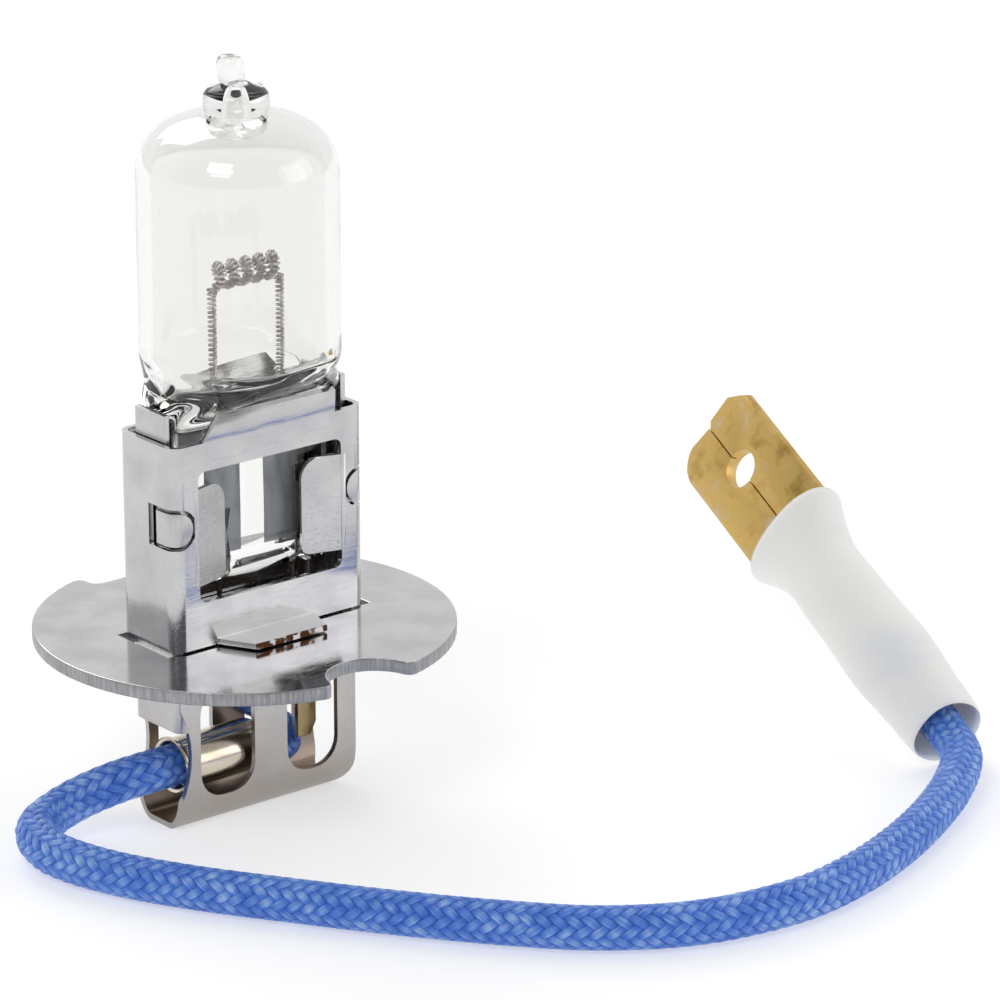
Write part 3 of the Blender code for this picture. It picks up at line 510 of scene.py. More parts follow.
def around_line(tree, angle, radius):
    """The direction at an angle round the line, and the step of that radius along it."""
    normal = add(tree, "GeometryNodeInputNormal")
    tangent = add(tree, "GeometryNodeInputTangent")
    across = add(tree, "ShaderNodeVectorMath", {0: tangent, 1: normal}, operation='CROSS_PRODUCT')
    parts = [add(tree, "ShaderNodeVectorMath", {0: axis, "Scale": calculate(tree, wave, angle)},
                 operation='SCALE') for axis, wave in ((normal, 'COSINE'), (across, 'SINE'))]
    outward = add(tree, "ShaderNodeVectorMath", {0: parts[0], 1: parts[1]}, operation='ADD')
    step = add(tree, "ShaderNodeVectorMath", {0: outward, "Scale": radius}, operation='SCALE')
    return outward, step


def finish_tree(tree, mesh, finish):
    smooth = add(tree, "GeometryNodeSetShadeSmooth", {0: mesh})
    real = add(tree, "GeometryNodeRealizeInstances", {0: smooth})
    dressed = add(tree, "GeometryNodeSetMaterial", {0: real, "Material": finish})
    add(tree, "NodeGroupOutput", {0: dressed})


def grown(name, tree, points, sizes):
    line = bpy.data.meshes.new(name + "_line")
    line.from_pydata(points, [(i, i + 1) for i in range(len(points) - 1)], [])
    holder = placed(name + "_line", line)
    maker = holder.modifiers.new("grow", 'NODES')
    maker.node_group = tree
    for socket in tree.interface.items_tree:
        if socket.name in sizes:
            maker[socket.identifier] = sizes[socket.name]
    mesh = baked(holder)
    holder.modifiers.remove(maker)
    bpy.data.objects.remove(holder)
    print(name, "has", len(mesh.polygons), "faces")
    return mesh


# %% [markdown]
# ## The woven sleeve
# A braid has as many strands turning left as right, and each passes over two and under two of
# the others. So a strand is a helix whose radius ripples: at crossing number c the strand is up
# when c modulo 4 is 0 or 1, and down otherwise. A cosine with a period of four crossings does
# that smoothly. The ripple is also stored as "crown", and the finish uses it to paint a highlight
# on the tops of the strands and shade in the gaps between them.

# %% Braid tree
def braid_tree():
    tree, size = named_tree("braid", ("Radius", "Ripple", "Pitch", "Strands", "Half Width",
                                      "Half Thickness", "Step"))
    work = partial(calculate, tree)
    fine = even_steps(tree, size)
    both_ways = work('MULTIPLY', size["Strands"], 2.0)
    copies = add(tree, "GeometryNodeDuplicateElements", {"Geometry": fine, "Amount": both_ways},
                 domain='SPLINE')
    number = copies.outputs["Duplicate Index"]
    odd = work('MODULO', number, 2.0)
    turning = work('MULTIPLY_ADD', odd, -2.0, 1.0)
    strand = work('FLOOR', work('MULTIPLY', number, 0.5))
    reach = add(tree, "GeometryNodeSplineParameter").outputs["Length"]
    turns = work('MULTIPLY', turning, work('DIVIDE', reach, size["Pitch"]))
    share = work('DIVIDE', strand, size["Strands"])
    angle = work('MULTIPLY', work('ADD', turns, share), 2 * math.pi)
    crossings = work('MULTIPLY', turns, both_ways)
    crossing = work('MULTIPLY_ADD', strand, 2.0, crossings)
    centred = work('ADD', crossing, work('SUBTRACT', turning, 1.5))
    crown = work('COSINE', work('MULTIPLY', centred, math.pi / 2))
    radius = work('MULTIPLY_ADD', crown, size["Ripple"], size["Radius"])
    outward, step = around_line(tree, angle, radius)
    along = work('MULTIPLY_ADD', number, 0.013, reach)
    kept = copies
    for name, value, kind in (("crown", crown, 'FLOAT'), ("along", along, 'FLOAT'),
                              ("outward", outward, 'FLOAT_VECTOR')):
        kept = add(tree, "GeometryNodeStoreNamedAttribute",
                   {"Geometry": kept, "Name": name, "Value": value}, data_type=kind, domain='POINT')
    moved = add(tree, "GeometryNodeSetPosition", {"Geometry": kept, "Offset": step})
    facing = add(tree, "GeometryNodeInputNamedAttribute", {"Name": "outward"},
                 data_type='FLOAT_VECTOR')
    turned = add(tree, "GeometryNodeSetCurveNormal", {"Curve": moved, "Normal": facing}, mode='FREE')
    circle = add(tree, "GeometryNodeCurvePrimitiveCircle", {"Resolution": 8, "Radius": 1.0})
    place = add(tree, "GeometryNodeInputIndex")
    marked = add(tree, "GeometryNodeStoreNamedAttribute",
                 {"Geometry": circle, "Name": "across", "Value": place}, data_type='FLOAT')
    flat = add(tree, "ShaderNodeCombineXYZ", {"X": size["Half Thickness"], "Y": size["Half Width"],
                                              "Z": 1.0})
    oval = add(tree, "GeometryNodeTransform", {"Geometry": marked, "Scale": flat})
    strands = add(tree, "GeometryNodeCurveToMesh",
                  {"Curve": turned, "Profile Curve": oval, "Fill Caps": True})
    inner = work('SUBTRACT', size["Radius"], size["Ripple"])
    pipe = add(tree, "GeometryNodeCurvePrimitiveCircle", {"Resolution": 20, "Radius": inner})
    core = add(tree, "GeometryNodeCurveToMesh",
               {"Curve": fine, "Profile Curve": pipe, "Fill Caps": True})
    # the core under the strands gets the lowest crown, so the finish paints its darkest shade on it
    deep = add(tree, "GeometryNodeStoreNamedAttribute",
               {"Geometry": core, "Name": "crown", "Value": -1.0}, data_type='FLOAT')
    joined = add(tree, "GeometryNodeJoinGeometry")
    for part in (strands, deep):
        tree.links.new(part.outputs[0], joined.inputs[0])
    finish_tree(tree, joined, size["Finish"])
    return tree


braid = braid_tree()
print("the braid tree has", len(braid.nodes), "nodes")

# %% [markdown]
# The yarn is dyed glass fibre, stiffened with a clear varnish, and a strong blue. The finish
# paints a highlight on the tops of the strands and paints shade in the gaps between them. Fine
# streaks run along each strand, because it is a bundle of hundreds of filaments.

# %% Braid finish
# from painted shade in the gaps, through the yarn's dyed blues, to a painted highlight on the strands'
# tops
YARN_DEEP = "#0E379E"
YARN_BLUE = "#2A61C8"
YARN_PALE = "#4A80D8"
YARN_PAINTED_HIGHLIGHT = "#95B6EA"


def varnished_yarn():
    finish, tree, shader = new_finish("varnished_glass_fibre_yarn", {
        "Roughness": 0.55, "Coat Weight": 0.12, "Coat Roughness": 0.35, "Sheen Weight": 0.15,
        "Sheen Roughness": 0.4})
    crown, along, across = (add(tree, "ShaderNodeAttribute", attribute_name=name).outputs["Fac"]
                            for name in ("crown", "along", "across"))
    on_strand = add(tree, "ShaderNodeCombineXYZ", {
        "X": add(tree, "ShaderNodeMath", {0: along, 1: 1 / (1.1 * MM)}, operation='MULTIPLY'),
        "Y": add(tree, "ShaderNodeMath", {0: across, 1: 1.7}, operation='MULTIPLY')})
    fibres = add(tree, "ShaderNodeTexNoise", {"Vector": on_strand, "Scale": 1.0, "Detail": 3.0})
    patches = mottle(tree, 1.3 * MM)
    uneven = add(tree, "ShaderNodeMath", {0: fibres, 1: patches}, operation='ADD')
    # the crown lightens the strands' tops as a painted highlight and darkens the gaps as painted shade
    lifted = add(tree, "ShaderNodeMath", {0: crown, 1: 0.24, 2: -0.02}, operation='MULTIPLY_ADD')
    level = add(tree, "ShaderNodeMath", {0: uneven, 1: 0.5, 2: lifted}, operation='MULTIPLY_ADD')
    tinted(tree, shader, level, (
        (0.2, YARN_DEEP), (0.45, YARN_BLUE), (0.64, YARN_PALE), (0.82, YARN_PAINTED_HIGHLIGHT)))
    embossed(tree, shader, fibres, 0.04 * MM, 0.7)
    return finish


yarn = varnished_yarn()
SLEEVE_SIZES = {"Radius": 0.98 * MM, "Ripple": 0.05 * MM, "Pitch": 9.0 * MM, "Strands": 12,
                "Half Width": 0.23 * MM, "Half Thickness": 0.11 * MM, "Step": 0.22 * MM,
                "Finish": yarn}
lead = finished("lead_sleeve", grown("lead_sleeve", braid, lead_route, SLEEVE_SIZES), yarn,
                ["lead_cord"])

# %% [markdown]
# Inside the yoke a second, thinner sleeve insulates the live wire on its way from the glass to
# the ferrule. It goes round the ferrule's end in one tight turn.

# %% Inner sleeve
ferrule_low, ferrule_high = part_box("lead_ferrule")
ROOM = 1.0 * MM                   # how far off the middle the sleeve can lie
LIVE_TOP = 8.4 * MM
LIVE_END = Vector((1.65, 0, 2.5)) * MM
BRAID_BENDS = ((-1.0, 0.5, 7.2), (-0.1, 0.9, 5.9), (0.75, 1.0, 4.95), (1.6, 0.95, 4.2),
               (2.5, 0.85, 3.7), (3.25, 0.7, 3.0), (3.15, 0.4, 2.2), (2.3, 0.1, 2.0))
live_x = sum(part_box("live_lead")[i].x for i in (0, 1)) / 2
live_route = smooth_route([Vector((live_x, 0, LIVE_TOP)),
                           *(Vector((x * MM, y * ROOM, z * MM)) for x, y, z in BRAID_BENDS),
                           LIVE_END], 0.3 * MM)
inner_sizes = {**SLEEVE_SIZES, "Radius": 0.46 * MM, "Ripple": 0.035 * MM, "Pitch": 4.0 * MM,
               "Strands": 6, "Half Width": 0.2 * MM, "Half Thickness": 0.08 * MM, "Step": 0.16 * MM}
finished("live_sleeve", grown("live_sleeve", braid, live_route, inner_sizes), yarn,
         ["live_braid"])

# %% [markdown]
# ## The coiled coil
# The filament is tungsten wire wound into a long thin coil, which is then wound again into five
# fat turns. The fat turns are the line, and a simple winding tree puts the thin coil round it.
# The same tree twists the copper strands, with more starts and a long pitch.

# %% Winding tree
def winding_tree():
    tree, size = named_tree("winding", ("Radius", "Pitch", "Strands", "Wire Radius", "Step"))
    fine = even_steps(tree, size)
    copies = add(tree, "GeometryNodeDuplicateElements",
                 {"Geometry": fine, "Amount": size["Strands"]}, domain='SPLINE')
    reach = add(tree, "GeometryNodeSplineParameter").outputs["Length"]
    turns = calculate(tree, 'DIVIDE', reach, size["Pitch"])
    start = calculate(tree, 'DIVIDE', copies.outputs["Duplicate Index"], size["Strands"])
    angle = calculate(tree, 'MULTIPLY', calculate(tree, 'ADD', turns, start), 2 * math.pi)
    outward, step = around_line(tree, angle, size["Radius"])
    moved = add(tree, "GeometryNodeSetPosition", {"Geometry": copies, "Offset": step})
    circle = add(tree, "GeometryNodeCurvePrimitiveCircle",
                 {"Resolution": 7, "Radius": size["Wire Radius"]})
    wires = add(tree, "GeometryNodeCurveToMesh",
                {"Curve": moved, "Profile Curve": circle, "Fill Caps": True})
    finish_tree(tree, wires, size["Finish"])
    return tree


winding = winding_tree()

# %% [markdown]
# Drawn tungsten is a silvery grey with a satin sheen, and brownish where it was heated.

# %% Tungsten
TUNGSTEN = "#E2DCD8"
TUNGSTEN_DARK = "#A9A19D"
tungsten = cloudy_metal("drawn_tungsten", {"Metallic": 0.9, "Roughness": 0.26}, (0.5 * MM,),
                        ((0.4, TUNGSTEN_DARK), (0.6, TUNGSTEN)), (0.02 * MM, 0.4))

COIL_TURNS = 5
COIL_STEPS = 40
WIRE_REACH = 0.3 * MM
coil_low, coil_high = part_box("filament")
coil_radius = coil_high.y - WIRE_REACH
coil_axis = coil_high.z - WIRE_REACH - coil_radius
coil_left = coil_low.x + WIRE_REACH
coil_length = coil_high.x - coil_low.x - 2 * WIRE_REACH
coil_line = []
for i in range(COIL_TURNS * COIL_STEPS + 1):
    turn = i / COIL_STEPS
    coil_line.append(Vector((coil_left + coil_length * turn / COIL_TURNS,
                             -coil_radius * math.sin(2 * math.pi * turn),
                             coil_axis - coil_radius * math.cos(2 * math.pi * turn))))
LEG_BEND = 0.45 * MM
foot = [Vector((coil_left, 0, coil_low.z)), Vector((coil_left, 0.05 * MM, coil_axis - 2 * coil_radius)),
        Vector((coil_left, 0.04 * MM, coil_axis - coil_radius - LEG_BEND))]
coil_end = coil_left + coil_length
other_foot = [Vector((coil_end, -0.04 * MM, coil_axis - coil_radius - LEG_BEND)),
              Vector((coil_end, -0.05 * MM, coil_axis - 2 * coil_radius)),
              Vector((coil_end, 0, coil_low.z))]
filament_line = smooth_route(foot + coil_line[2:-2] + other_foot, 0.05 * MM)
finished("coiled_filament", grown("coiled_filament", winding, filament_line, {
    "Radius": 0.17 * MM, "Pitch": 0.24 * MM, "Strands": 1, "Wire Radius": 0.08 * MM,
    "Step": 0.028 * MM, "Finish": tungsten}), tungsten, ["filament"])

# %% [markdown]
# ## The current's way in
# Between the filament and the outside world the current runs through two strips of molybdenum
# foil. They are so thin that hot glass can be pressed tight on them, and to the eye they are
# dull grey bands in the clear pinch. A thick wire is welded to the outer end of each.

# %% Foils and leads
foil_finish = cloudy_metal(
    "molybdenum_foil", {"Metallic": 0.7, "Roughness": 0.45}, (0.8 * MM, (1, 1, 3)),
    ((0.3, "#8C8F92"), (0.5, "#A9ADB0"), (0.7, "#B7BBBE")), (0.03 * MM,))

FOIL_STEPS = (8, 16)


def crinkled_foil(node, name):
    """A thin strip with feathered long edges and a faint crinkle, as rolled foil has."""
    low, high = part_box(node)
    bm = bmesh.new()
    across, up = FOIL_STEPS
    rings = []
    for i in range(up + 1):
        z = low.z + (high.z - low.z) * i / up
        front, rear = [], []
        for j in range(across + 1):
            x = low.x + (high.x - low.x) * j / across
            edge = min(j, across - j) / across * 2
            half = high.y * (0.15 + 0.85 * min(1.0, edge * 3))
            wave = 0.03 * MM * math.sin(5 * x / MM) * math.sin(1.3 * z / MM)
            front.append(Vector((x, wave - half, z)))
            rear.append(Vector((x, wave + half, z)))
        rings.append(front + rear[::-1])
    loft(bm, rings)
    return finished(name, mesh_of(bm, name), foil_finish, [node], sharp=40)


crinkled_foil("foil_live", "foil_strip_live")
crinkled_foil("foil_ground", "foil_strip_ground")

WELD = (0.45 * MM, 0.16 * MM)     # half width and thickness of the weld's flattened plate


def rod(bm, points, radius, sides=20):
    """A round rod along points, with closed ends."""
    rings = []
    for i, point in enumerate(points):
        ahead = points[min(i + 1, len(points) - 1)] - points[max(i - 1, 0)]
        turn = ahead.to_track_quat('Z', 'Y').to_matrix()
        angles = [2 * math.pi * k / sides for k in range(sides)]
        rings.append([point + turn @ Vector((radius * math.cos(a), radius * math.sin(a), 0))
                      for a in angles])
    loft(bm, rings)


def welded_lead(node, name, foil_node, rise, plate):
    """A wire that runs up its foil by a rise; one of the two ends in a flattened plate."""
    low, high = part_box(node)
    foil_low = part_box(foil_node)[0]
    x = (low.x + high.x) / 2
    radius = (high.x - low.x) / 2
    bm = bmesh.new()
    shift = -radius
    rod(bm, [Vector((x, 0, low.z)), Vector((x, 0, high.z - 1.2 * MM)),
             Vector((x, shift, high.z)), Vector((x, shift, foil_low.z + rise))], 0.8 * radius)
    if plate:
        bmesh.ops.create_cube(bm, size=1.0, matrix=Matrix.Translation(
            (x, shift * 1.9, foil_low.z + rise - WELD[0])) @ Matrix.Diagonal(
            (2 * WELD[0], WELD[1], 2 * WELD[0], 1)))
    return finished(name, mesh_of(bm, name), tungsten, [node], sharp=40)


welded_lead("live_lead", "live_lead_wire", "foil_live", 2.4 * MM, False)
welded_lead("ground_lead", "ground_lead_wire", "foil_ground", 3.9 * MM, True)

# %% [markdown]
# ## The quartz envelope
# The envelope is one piece of quartz glass: a tube that was closed at the top, pumped through a
# thin tube that was then melted off (that is the nub), and pressed flat round the foils at its
# foot. It is modelled as it is, an outer skin and the skin of the sealed hollow, so that light
# bends at all four surfaces. The hollow ends above in what is left of the passage that it was
# pumped through. The pressed foot and the hollow's floor are a little uneven, because the glass
# was soft when the jaws closed on it. Fused quartz is clear with a faint grey, never green.

# %% Glass
GLASS_SIDES = 96
glass_low, glass_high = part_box("glass_envelope")
TUBE_RADIUS = (glass_high.x - glass_low.x) / 2
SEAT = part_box("flange_disc")[1].z
TUBE_WALL = 0.78 * MM
PINCH_HALF = 1.35 * MM
PRESS_LOW = SEAT + 11.2 * MM
PRESS_TOP = PRESS_LOW + 0.89 * (TUBE_RADIUS - PINCH_HALF)
DOME_START = SEAT + 23.7 * MM
DOME_HEIGHT = 3.4 * MM
CAVITY_LOW = SEAT + 12.4 * MM
CAVITY_ROOF = SEAT + 26.3 * MM


def oval(half_x, half_y, power, height, centre=(0, 0), sides=GLASS_SIDES):
    """A level ring: round at power 2, nearly square at high powers."""
    ring = []
    for i in range(sides):
        c, s = math.cos(2 * math.pi * i / sides), math.sin(2 * math.pi * i / sides)
        ring.append(Vector((centre[0] + half_x * math.copysign(abs(c) ** (2 / power), c),
                            centre[1] + half_y * math.copysign(abs(s) ** (2 / power), s), height)))
    return ring


def pressed(half_x, half_y, low, top, slab, steps):
    """Rings that flatten a round tube into a slab."""
    rings = []
    for i in range(steps + 1):
        t = i / steps
        ease = t * t * (3 - 2 * t)
        rings.append(oval(half_x, slab + (half_y - slab) * ease, 2 + 8 * (1 - ease) ** 3,
                          low + (top - low) * t))
    return rings


def domed(radius, start, height, power, smallest, steps):
    rings = []
    for i in range(1, steps + 1):
        share = math.sin(math.pi / 2 * (1 - i / steps * (1 - smallest)))
        rise = (1 - share ** power) ** (1 / power)
        rings.append(oval(radius * share, radius * share, 2, start + height * rise))
    return rings


def uneven(rings, size, depth, low, high):
    """Push points out of place by smooth noise between two heights."""
    for ring in rings:
        for point in ring:
            fade = max(0.0, min(1.0, (high - point.z) / (high - low)))
            push = Vector(noise_at(point / size)) * depth * fade
            point += push


def noise_at(place):
    """Smooth sums of sines, which need no random numbers."""
    x, y, z = place
    return (math.sin(1.9 * y + 2.3 * z) * math.sin(1.1 * x + 0.7),
            math.sin(1.7 * x + 0.9 * z) * math.cos(1.3 * z + 1.1 * y),
            math.sin(2.1 * x + 1.2 * y) * math.cos(1.6 * y + 0.4))


outer = [oval(TUBE_RADIUS - 0.35 * MM, PINCH_HALF - 0.3 * MM, 6, glass_low.z + 0.05 * MM),
         oval(TUBE_RADIUS - 0.05 * MM, PINCH_HALF - 0.05 * MM, 8, glass_low.z + 0.4 * MM)]
outer += [oval(TUBE_RADIUS, PINCH_HALF, 10, glass_low.z + (PRESS_LOW - glass_low.z) * i / 42)
          for i in range(3, 42)]
outer += pressed(TUBE_RADIUS, TUBE_RADIUS, PRESS_LOW, PRESS_TOP, PINCH_HALF, 24)
outer += [oval(TUBE_RADIUS, TUBE_RADIUS, 2, PRESS_TOP + (DOME_START - PRESS_TOP) * i / 10)
          for i in range(1, 11)]
outer += domed(TUBE_RADIUS, DOME_START, DOME_HEIGHT, 2.6, 0.22, 24)
dome_top = DOME_START + DOME_HEIGHT
COLLAR = ((1.55, -0.05), (1.66, 0.1), (1.69, 0.4), (1.69, 0.7), (1.62, 0.95), (1.45, 1.15),
          (1.15, 1.3), (0.85, 1.38), (0.7, 1.45))
NUB = ((0.68, 1.55), (0.7, 1.8), (0.71, 2.2), (0.7, 2.5), (0.64, 2.7), (0.5, 2.82), (0.3, 2.88),
       (0.1, 2.9))
NUB_SHIFT = (-0.154 * MM, 0.127 * MM)
LEAN = (-0.06, 0.05)              # sideways per height
for radius, rise in COLLAR:
    outer.append(oval(radius * MM, radius * MM, 2, dome_top + rise * MM))
for radius, rise in NUB:
    lean = [start + part * (rise - NUB[0][1]) * MM for start, part in zip(NUB_SHIFT, LEAN)]
    outer.append(oval(radius * MM, radius * MM, 2, dome_top + rise * MM, lean))
pinch_rings = outer[:41]
uneven(pinch_rings, 1.6 * MM, 0.1 * MM, glass_low.z, PRESS_LOW)
uneven(pinch_rings, 0.42 * MM, 0.2 * MM, glass_low.z + 0.8 * MM, glass_low.z + 1.9 * MM)

bore = TUBE_RADIUS - TUBE_WALL
inner = [oval(bore * 0.55, TUBE_WALL * 0.2, 2.4, CAVITY_LOW),
         oval(bore * 0.8, TUBE_WALL * 0.45, 3, CAVITY_LOW + 0.12 * MM)]
inner += pressed(bore, bore, CAVITY_LOW + 0.4 * MM, PRESS_TOP, 0.75 * TUBE_WALL, 20)
inner += [oval(bore, bore, 2, PRESS_TOP + (DOME_START - PRESS_TOP) * i / 10) for i in range(1, 11)]
inner += domed(bore, DOME_START, CAVITY_ROOF - DOME_START, 2.6, 0.2, 28)
PASSAGE = ((0.66, 0.1), (0.56, 0.5), (0.5, 1.0), (0.42, 1.4), (0.26, 1.7), (0.06, 1.8))
inner += [oval(radius * MM, radius * MM, 2, CAVITY_ROOF + rise * MM) for radius, rise in PASSAGE]
uneven(inner[:24], 1.9 * MM, 0.22 * MM, CAVITY_LOW, PRESS_TOP + MM)

bm = bmesh.new()
loft(bm, inner)
bmesh.ops.recalc_face_normals(bm, faces=bm.faces)
bmesh.ops.reverse_faces(bm, faces=bm.faces)
skin = bmesh.new()
loft(skin, outer)
bmesh.ops.recalc_face_normals(skin, faces=skin.faces)
skin_mesh = bpy.data.meshes.new("skin")
skin.to_mesh(skin_mesh)
skin.free()
bm.from_mesh(skin_mesh)
BEAD_RADIUS = 0.13 * MM           # a drop of glass beside the nub
bead = Matrix.Translation((0.95 * MM, -0.75 * MM, dome_top + 1.32 * MM))
bmesh.ops.create_uvsphere(bm, u_segments=16, v_segments=10, radius=BEAD_RADIUS, matrix=bead)
glass_mesh = bpy.data.meshes.new("quartz_envelope")
bm.to_mesh(glass_mesh)
bm.free()

quartz, quartz_tree, quartz_shader = new_finish("fused_quartz", {
    "Base Color": colour("#F4F4F2"), "Roughness": 0.0, "IOR": 1.46, "Transmission Weight": 1.0})
ripples = mottle(quartz_tree, 4.0 * MM, (1, 1, 2.5), 2.0)
embossed(quartz_tree, quartz_shader, ripples, 0.05 * MM, 0.35)
finished("quartz_envelope", glass_mesh, quartz, ["glass_envelope"], sharp=60)
print("the envelope has", len(glass_mesh.polygons), "faces")

# %% [markdown]
# ## The ferrule
# The lead's sleeve ends in a drawn tube of nickel silver, crimped round the wire. Its mouth is
# rolled outwards so that it can't cut the yarn, and a seam runs along its top where the strip's
# edges meet. Nickel silver is yellower than nickel.

# %% Ferrule
FERRULE_SIDES = 96
SEAM_DEPTH = 0.09 * MM
SEAM_WIDTH = 0.1
SEAM_AT = math.radians(112)
lead_axis = ((ferrule_low + ferrule_high) / 2).z
FERRULE_PROFILE = (  # distance from the mouth, radius, seam share; outside first, then the bore
    (0.0, 1.34, 0), (-0.04, 1.44, 0.2), (0.02, 1.52, 0.4), (0.14, 1.51, 0.6), (0.24, 1.42, 0.8),
    (0.4, 1.4, 1), (1.6, 1.4, 1), (3.0, 1.4, 1), (4.4, 1.38, 1), (5.0, 1.36, 1), (5.15, 1.3, 0.6),
    (5.2, 1.2, 0), (5.18, 0.84, 0), (5.1, 0.8, 0), (1.3, 0.8, 0), (1.2, 0.84, 0), (1.16, 1.2, 0),
    (1.1, 1.22, 0), (0.1, 1.24, 0), (0.02, 1.28, 0))


def ferrule_mesh():
    rings = []
    for place, radius, seam in FERRULE_PROFILE:
        ring = []
        for i in range(FERRULE_SIDES):
            angle = 2 * math.pi * i / FERRULE_SIDES
            groove = SEAM_DEPTH * seam * math.exp(-((angle - SEAM_AT) / SEAM_WIDTH) ** 2)
            reach = radius * MM - groove
            ring.append((ferrule_low.x + place * MM, reach * math.cos(angle),
                         lead_axis + reach * math.sin(angle)))
        rings.append(ring)
    bm = bmesh.new()
    loft(bm, rings, endless=True)
    return mesh_of(bm, "drawn_ferrule")


nickel_silver = cloudy_metal(
    "nickel_silver", {"Metallic": 1.0, "Roughness": 0.2}, (1.2 * MM, (4, 1, 1)),
    ((0.3, "#B9AC97"), (0.5, "#D9CFBC"), (0.7, "#E4DCCC")), (0.03 * MM,))
finished("drawn_ferrule", ferrule_mesh(), nickel_silver, ["lead_ferrule"], sharp=50)

# %% [markdown]
# The wire's stripped end is a twist of copper strands, a dull reddish brown.

# %% Copper strands
copper = cloudy_metal("tinned_copper", {"Metallic": 1.0, "Roughness": 0.35}, (0.6 * MM,),
                      ((0.35, "#8A5436"), (0.65, "#C98A63")))
core_low, core_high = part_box("lead_conductor")
core_line = [Vector((core_low.x + (core_high.x - core_low.x) * i / 12, 0, lead_axis))
             for i in range(13)]
finished("copper_strands", grown("copper_strands", winding, core_line, {
    "Radius": 0.36 * MM, "Pitch": 9.0 * MM, "Strands": 8, "Wire Radius": 0.17 * MM,
    "Step": 0.3 * MM, "Finish": copper}), copper, ["lead_conductor"])

# %% [markdown]
# ## Brass
# The blade is one strip of brass folded to double thickness, so its shown face has a seam where
# the two leaves meet and its long edges are folds with faint creases. It is made as a folded
# section, drawn along the blade, and then cut to the blade's outline and hole. Old brass is
# uneven: gold where fingers polish it, brown in the seam and grey-white where flux was left.

# %% Brass finish
def old_brass(name, gold, stain, shade):
    finish, tree, shader = new_finish(name, {"Metallic": 1.0, "Roughness": 0.3})
    clouds = mottle(tree, 1.4 * MM, (1, 1, 1), 6.0)
    tinted(tree, shader, clouds, ((0.26, shade), (0.46, gold), (0.58, gold), (0.8, stain)))
    matt = add(tree, "ShaderNodeMapRange", {"Value": clouds, "From Min": 0.4, "From Max": 0.7,
                                            "To Min": 0.26, "To Max": 0.5})
    tree.links.new(matt.outputs["Result"], shader.inputs["Roughness"])
    embossed(tree, shader, mottle(tree, 0.3 * MM), 0.03 * MM)
    return finish


brass = old_brass("folded_brass", "#D0AE68", "#CDC5AA", "#A98845")
tab_brass = old_brass("brass_tab", "#A08F6C", "#B5AA90", "#75633F")

# %% Blade
COVER_LENGTH = 17.4 * MM
BLADE_LENGTH = 10.1 * MM
BLADE_HALF = 3.15 * MM
BLADE_THICK = 0.4 * MM            # half the blade's thickness
CHAMFER = 1.1 * MM
LOW_CORNER = 2.1 * MM             # radius of the lower leaf's round corner
HOLE_RADIUS = 1.1 * MM
HOLE_PLACE = 4.1 * MM             # from the tip
SEAM = 0.05 * MM
COVERED = 0.1 * MM                # how far the blade goes into the cover
BLADE_TIP = COVER_LENGTH + BLADE_LENGTH
BARREL = ((5.3, 5.5, 10.1, 10.3), 1.45, 32)  # places along it, radius and sides of the crimp
STEM = ((10.2, 17.0), 0.7, 24)    # and of the stem from there to the blade


def flat_plate(name, outlines, low, high, place=Matrix()):
    """Outlines filled in their plane, holes left open, and made thick from low to high."""
    curve = bpy.data.curves.new(name, 'CURVE')
    curve.dimensions = '2D'
    curve.fill_mode = 'BOTH'
    curve.extrude = (high - low) / 2
    for outline in outlines:
        spline = curve.splines.new('POLY')
        spline.points.add(len(outline) - 1)
        for point, (x, y) in zip(spline.points, outline):
            point.co = (x, y, 0, 1)
        spline.use_cyclic_u = True
    holder = placed(name, curve)
    mesh = baked(holder)
    bpy.data.objects.remove(holder)
    bm = bmesh.new()
    bm.from_mesh(mesh)
    bmesh.ops.remove_doubles(bm, verts=bm.verts, dist=0.0005 * MM)
    bm.transform(place @ Matrix.Translation((0, 0, (low + high) / 2)))
    return mesh_of(bm, name)


def arc(x, y, radius, start, end, steps):
    angles = [math.radians(start + (end - start) * i / steps) for i in range(steps + 1)]
    return [(x + radius * math.cos(a), y + radius * math.sin(a)) for a in angles]


def folded_section():
    """The doubled strip seen from its end, with creased folds and the seam's slit on top."""
    inset = BLADE_HALF - BLADE_THICK
    return (arc(inset, 0, BLADE_THICK, -90, 90, 4)
            + [(SEAM, BLADE_THICK), (SEAM / 2, BLADE_THICK - SEAM), (SEAM / 2, 0),
               (-SEAM / 2, 0), (-SEAM / 2, BLADE_THICK - SEAM), (-SEAM, BLADE_THICK)]
            + arc(-inset, 0, BLADE_THICK, 90, 270, 4))


def blade_outline():
    edge = BLADE_HALF + MM
    left = COVER_LENGTH - COVERED
    return [(left, -edge), (BLADE_TIP - CHAMFER - edge + BLADE_HALF, -edge),
            (BLADE_TIP, -BLADE_HALF + CHAMFER), (BLADE_TIP, -0.35 * MM),
            (BLADE_TIP - 0.3 * MM, -0.1 * MM), (BLADE_TIP - 0.25 * MM, 0.1 * MM),
            *arc(BLADE_TIP - LOW_CORNER, BLADE_HALF - LOW_CORNER, LOW_CORNER, 15, 90, 10),
            (BLADE_TIP - LOW_CORNER, edge), (left, edge)]


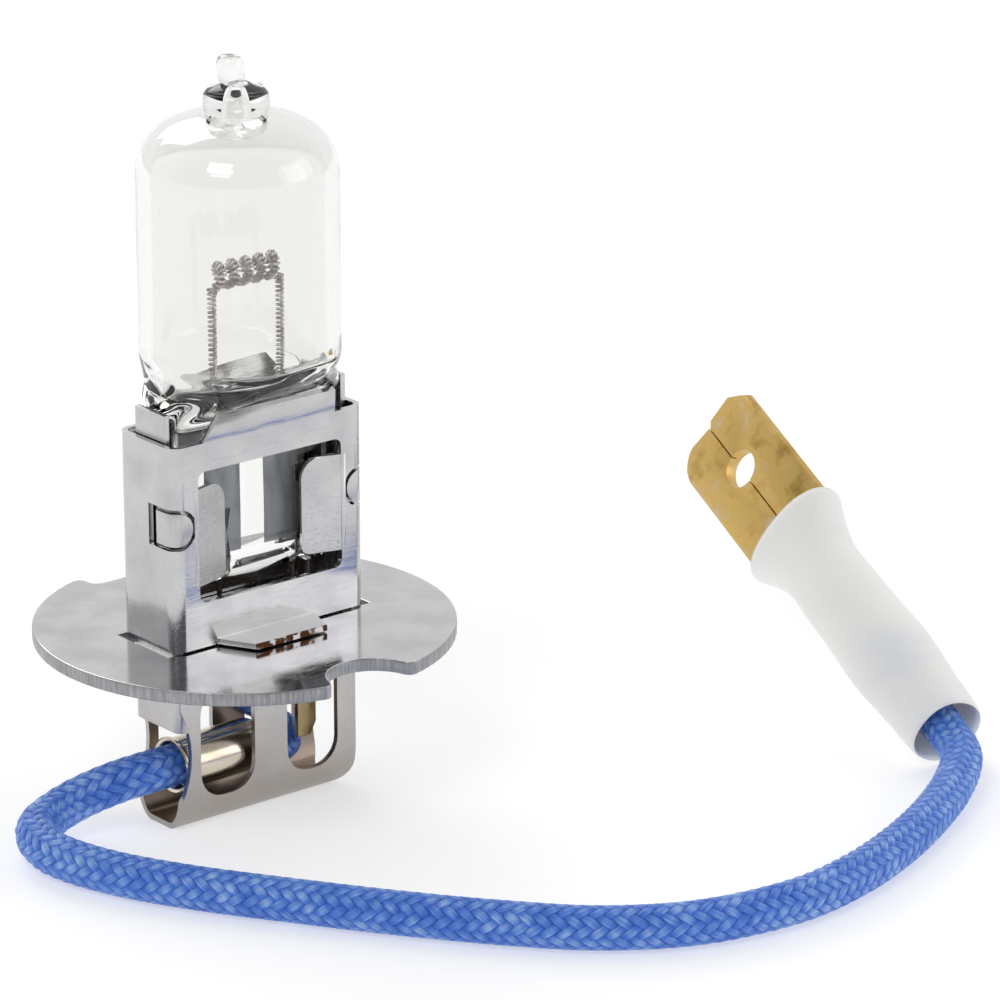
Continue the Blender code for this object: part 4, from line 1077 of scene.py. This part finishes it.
def blade_mesh():
    to_x = Matrix(((0, 0, 1, 0), (1, 0, 0, 0), (0, 1, 0, 0), (0, 0, 0, 1)))
    strip = flat_plate("strip", [folded_section()], COVER_LENGTH - COVERED - MM, BLADE_TIP + MM, to_x)
    hole = arc(BLADE_TIP - HOLE_PLACE, 0, HOLE_RADIUS, 0, 350, 35)
    outline = flat_plate("outline", [blade_outline(), hole], -MM, MM)
    blank = placed("blade_blank", strip)
    cutter = placed("blade_cutter", outline)
    press = blank.modifiers.new("press", 'BOOLEAN')
    press.operation = 'INTERSECT'
    press.object = cutter
    mesh = baked(blank)
    blank.modifiers.remove(press)
    for piece in (blank, cutter):
        bpy.data.objects.remove(piece)
    bm = bmesh.new()
    bm.from_mesh(mesh)
    rolled_edges(bm, 50, 0.05 * MM, False)
    for reach, radius, sides in (BARREL, STEM):
        rod(bm, [Vector((x * MM, 0, 0)) for x in reach], radius * MM, sides)
    bm.transform(terminal_place)
    return mesh_of(bm, "folded_blade")


blade = finished("folded_blade", blade_mesh(), brass, ["terminal_blade"], sharp=40)
softened("ground_tab", "ground_tab_strip", tab_brass, 0.04 * MM)

# %% [markdown]
# ## The terminal's cover
# A soft sleeve of milky plastic is pushed over the crimp. It bulges over the barrel, and the blade
# stretches its mouth into a short, wide flare. Light goes into it and comes out again, so it is a
# translucent white with a hint of blue where the yarn shows through.

# %% Cover
COVER_SIDES = 72
COVER_PROFILE = (  # share of the length, half width and half thickness
    (0.0, 2.05, 2.05), (0.12, 2.16, 2.16), (0.36, 2.4, 2.4), (0.62, 2.24, 2.24), (0.8, 2.17, 2.15),
    (0.85, 2.32, 2.12), (0.9, 2.62, 2.12), (0.94, 2.95, 2.14), (0.975, 3.26, 2.18),
    (1.0, 3.42, 2.2))
COVER_WALL = 0.2 * MM
COVER_STEPS = 80


def cover_half(share):
    """Half width and half thickness, eased between the profile's places."""
    for (a, *before), (b, *after) in zip(COVER_PROFILE, COVER_PROFILE[1:]):
        if share <= b:
            t = (share - a) / (b - a)
            return [(p + (q - p) * (t if a > 0.7 else t * t * (3 - 2 * t))) * MM
                    for p, q in zip(before, after)]
    return [size * MM for size in COVER_PROFILE[-1][1:]]


def cover_ring(distance, inset):
    half_y, half_z = (half - inset for half in cover_half(distance / COVER_LENGTH))
    return [Vector((distance, p.x, p.y))
            for p in oval(half_y, half_z, 2.2, 0, sides=COVER_SIDES)]


def cover_mesh():
    bm = bmesh.new()
    places = [COVER_LENGTH * i / COVER_STEPS for i in range(COVER_STEPS + 1)]
    ends = 0.12 * MM
    outside = [cover_ring(0, ends)] + [cover_ring(p, 0) for p in places[1:-1]] + [
        cover_ring(COVER_LENGTH, ends)]
    inside = [cover_ring(p, COVER_WALL) for p in places[::-1]]
    inside[0] = cover_ring(COVER_LENGTH, COVER_WALL - ends)
    inside[-1] = cover_ring(0, COVER_WALL - ends)
    loft(bm, outside + inside, endless=True)
    bm.transform(terminal_place)
    return mesh_of(bm, "soft_cover")


milky, milky_tree, milky_shader = new_finish("milky_soft_plastic", {
    "Roughness": 0.42, "Subsurface Weight": 0.35, "Subsurface Radius": (1.0, 1.0, 1.1),
    "Subsurface Scale": 0.5 * MM, "IOR": 1.5})
haze = mottle(milky_tree, 5.0 * MM)
tinted(milky_tree, milky_shader, haze, ((0.35, "#E9EAEC"), (0.5, "#F0EFEC"), (0.65, "#F3F1ED")))
embossed(milky_tree, milky_shader, mottle(milky_tree, 0.7 * MM, detail=3.0), 0.015 * MM)
cover = finished("soft_cover", cover_mesh(), milky, ["terminal_cover"], sharp=60)
